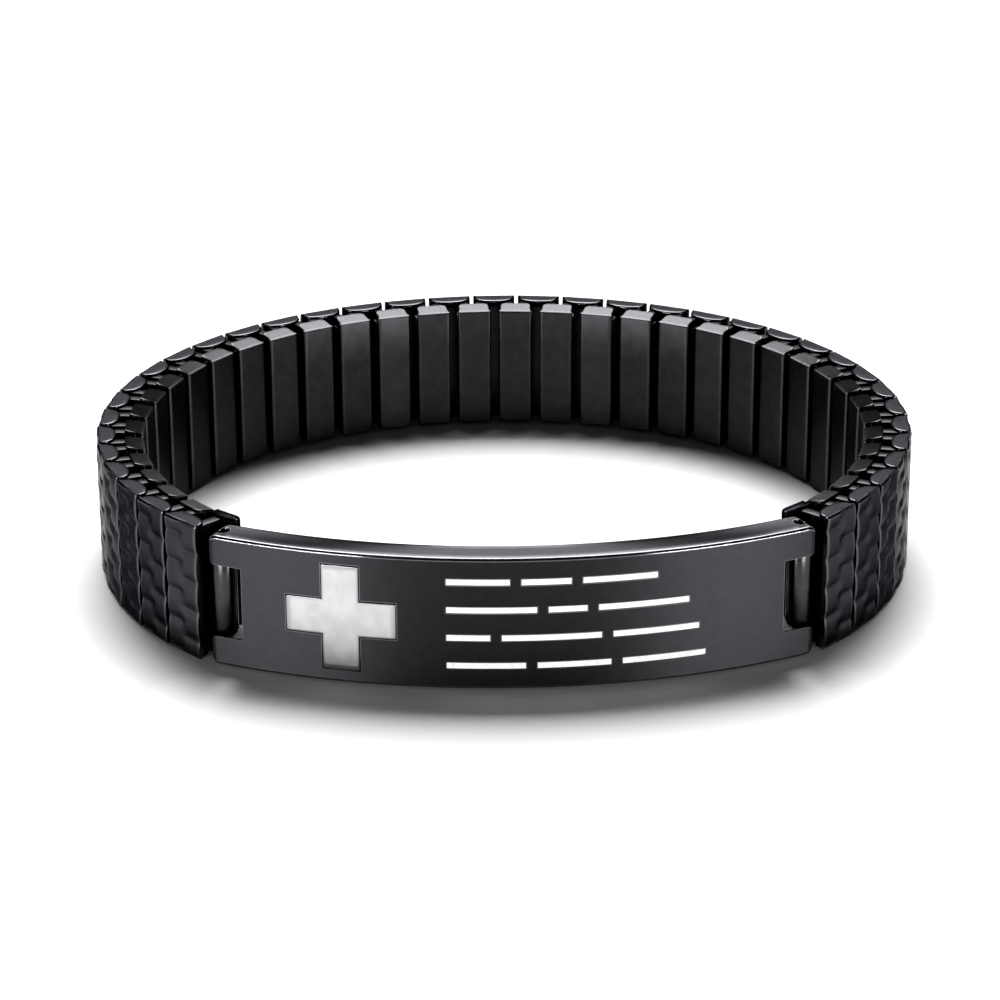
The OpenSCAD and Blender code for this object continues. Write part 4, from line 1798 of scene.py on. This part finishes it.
@dataclass
class Studio:
    """Camera, floor and lights."""

    azimuth: float = -1.5
    elevation: float = 22.0
    distance: float = 300.0
    target: Triple = (-0.48, -5.946, MIDDLE_Z)
    focal_px: float = 3408.0
    frame_px: float = 1000.0
    roll: float = -0.25
    sensor: float = 36.0
    clip: tuple[float, float] = (0.01, 10.0)
    floor_reach: float = 4.0
    fill: float = 0.02
    fill_colour: Triple = (0.97, 0.98, 1.0)
    panel_distance: float = 900.0

    def build(self) -> None:
        """Makes everything round the bracelet."""
        self.camera()
        self.floor()
        self.world()
        self.lights()

    def camera(self) -> None:
        """Camera on a circle about the target, turned by the roll about its own axis."""
        a, e = math.radians(self.azimuth), math.radians(self.elevation)
        back = Vector((math.sin(a) * math.cos(e), -math.cos(a) * math.cos(e), math.sin(e)))
        data = bpy.data.cameras.new("camera")
        data.sensor_width = self.sensor
        data.lens = self.sensor * self.focal_px / self.frame_px
        data.clip_start, data.clip_end = self.clip
        camera = link_object("camera", data)
        camera.location = (Vector(self.target) + back * self.distance) * MM
        look = (-back).to_track_quat("-Z", "Y")
        camera.rotation_mode = "QUATERNION"
        camera.rotation_quaternion = look @ Quaternion((0, 0, 1), math.radians(self.roll))
        bpy.context.scene.camera = camera

    def floor(self) -> None:
        """Wide flat floor under the bracelet."""
        side = self.floor_reach
        mesh = bpy.data.meshes.new("floor")
        corners = [(-side, -side, 0), (side, -side, 0), (side, side, 0), (-side, side, 0)]
        mesh.from_pydata(corners, [], [(0, 1, 2, 3)])
        mesh.materials.append(PaleFloor().material())
        link_object("floor", mesh)

    def world(self) -> None:
        """Faint even light from all round."""
        world = bpy.data.worlds.new("studio")
        world.use_nodes = True
        background = world.node_tree.nodes["Background"]
        background.inputs[0].default_value = (*self.fill_colour, 1.0)
        background.inputs[1].default_value = self.fill
        bpy.context.scene.world = world
        bpy.context.scene.view_settings.view_transform = "Standard"

    def lights(self) -> None:
        """A large soft panel high behind the bracelet and two low ones in front, left and right."""
        self.panel("key", azimuth=0.0, elevation=55.0, size=(600.0, 560.0), power=19.0)
        for name, azimuth in (("front_left", 221.0), ("front_right", 139.0)):
            self.panel(name, azimuth, elevation=2.5, size=(480.0, 75.0), power=5.0)

    def panel(
        self, name: str, azimuth: float, elevation: float, size: tuple[float, float], power: float
    ) -> None:
        """Area light that faces the bracelet.

        Args:
            name: Name of the light.
            azimuth: Its direction from the bracelet in degrees, 0 behind it and 90 to its right.
            elevation: Its height above the floor in degrees.
            size: Its width and height, in millimetres.
            power: Its power in watts.
        """
        data = bpy.data.lights.new(name, "AREA")
        data.shape = "RECTANGLE"
        data.size, data.size_y = size[0] * MM, size[1] * MM
        data.energy = power
        a, e = math.radians(azimuth), math.radians(elevation)
        away = Vector((math.sin(a) * math.cos(e), math.cos(a) * math.cos(e), math.sin(e)))
        light = link_object(name, data)
        light.location = away * self.panel_distance * MM
        light.rotation_mode = "QUATERNION"
        light.rotation_quaternion = away.to_track_quat("Z", "Y")


def make_finishes() -> dict[Slot, bpy.types.Material]:
    """Makes the finish of each material slot.

    Returns:
        The materials by slot.
    """
    steels = (
        BrushedSteel(
            Slot.PLATE.value, (0.038, 0.038, 0.042), (0.043, 0.043, 0.047), gloss=0.5, gloss_spread=0.05,
            line_gain=0.05, wear_gain=1.0, polish=0.85, grain=0.9,
        ),
        # the hammered links' tones stay near the light colour; the dark colour shows on the sleeves as
        # painted shade between the links
        BrushedSteel(
            Slot.HAMMERED.value, (0.004, 0.004, 0.0045), (0.045, 0.045, 0.05), gloss=0.26,
            brush=(1.0, 1.0, 1.0), line_gain=0.2, wear_gain=0.35, tone_gain=0.9,
            top=(0.028, 0.028, 0.031), top_gloss=0.40, glancing=0.35,
        ),
        # the dark colour serves the inner links' random tones and the sleeves' painted shade between the
        # links
        BrushedSteel(
            Slot.INNER.value, (0.022, 0.022, 0.024), (0.038, 0.038, 0.041), gloss=0.36,
            brush=(0.12, 1.8, 1.8), line_gain=0.25, wear_gain=0.15, polish=0.0, tone_gain=0.4,
            top=(0.054, 0.054, 0.057), top_gloss=0.3, glancing=0.6, grain=0.9,
        ),
        BrushedSteel(
            Slot.BLACK.value, (0.003, 0.003, 0.004), (0.005, 0.005, 0.006), gloss=0.42,
            wear_gain=0.25, tone_gain=0.9, glancing=0.3,
        ),
        BrushedSteel(
            Slot.BARE.value, (0.014, 0.014, 0.015), (0.022, 0.022, 0.023), gloss=0.5,
            wear_gain=0.1, polish=0.2,
        ),
        BrushedSteel(
            Slot.POLISHED.value, (0.50, 0.50, 0.51), (0.58, 0.58, 0.59), gloss=0.24, glancing=1.0,
        ),
    )
    finishes = {Slot(steel.name): steel.material() for steel in steels}
    finishes[Slot.WHITE] = WhiteFill().material()
    return finishes


def main() -> None:
    """Builds the scene in order."""
    logging.basicConfig(level=logging.INFO, format="%(name)s: %(message)s")
    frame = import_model()
    Studio().build()
    finishes = make_finishes()
    loop = Loop()
    emblem = Emblem(loop)
    ends = EndLinks(loop)
    band = Band(loop)
    IdPlate(loop, Dashes(), emblem).build(finishes[Slot.PLATE])
    emblem.build(finishes[Slot.POLISHED])
    HingePins(loop).build(finishes[Slot.BARE])
    ends.build(finishes[Slot.BLACK])
    band.build_outer(finishes[Slot.HAMMERED])
    band.build_inner(finishes[Slot.INNER])
    band.build_staples(finishes[Slot.BARE], ends.leg_y)
    dress_node(frame["nodes"]["engraved_dashes"], finishes[Slot.WHITE])


if __name__ == "__main__":
    main()
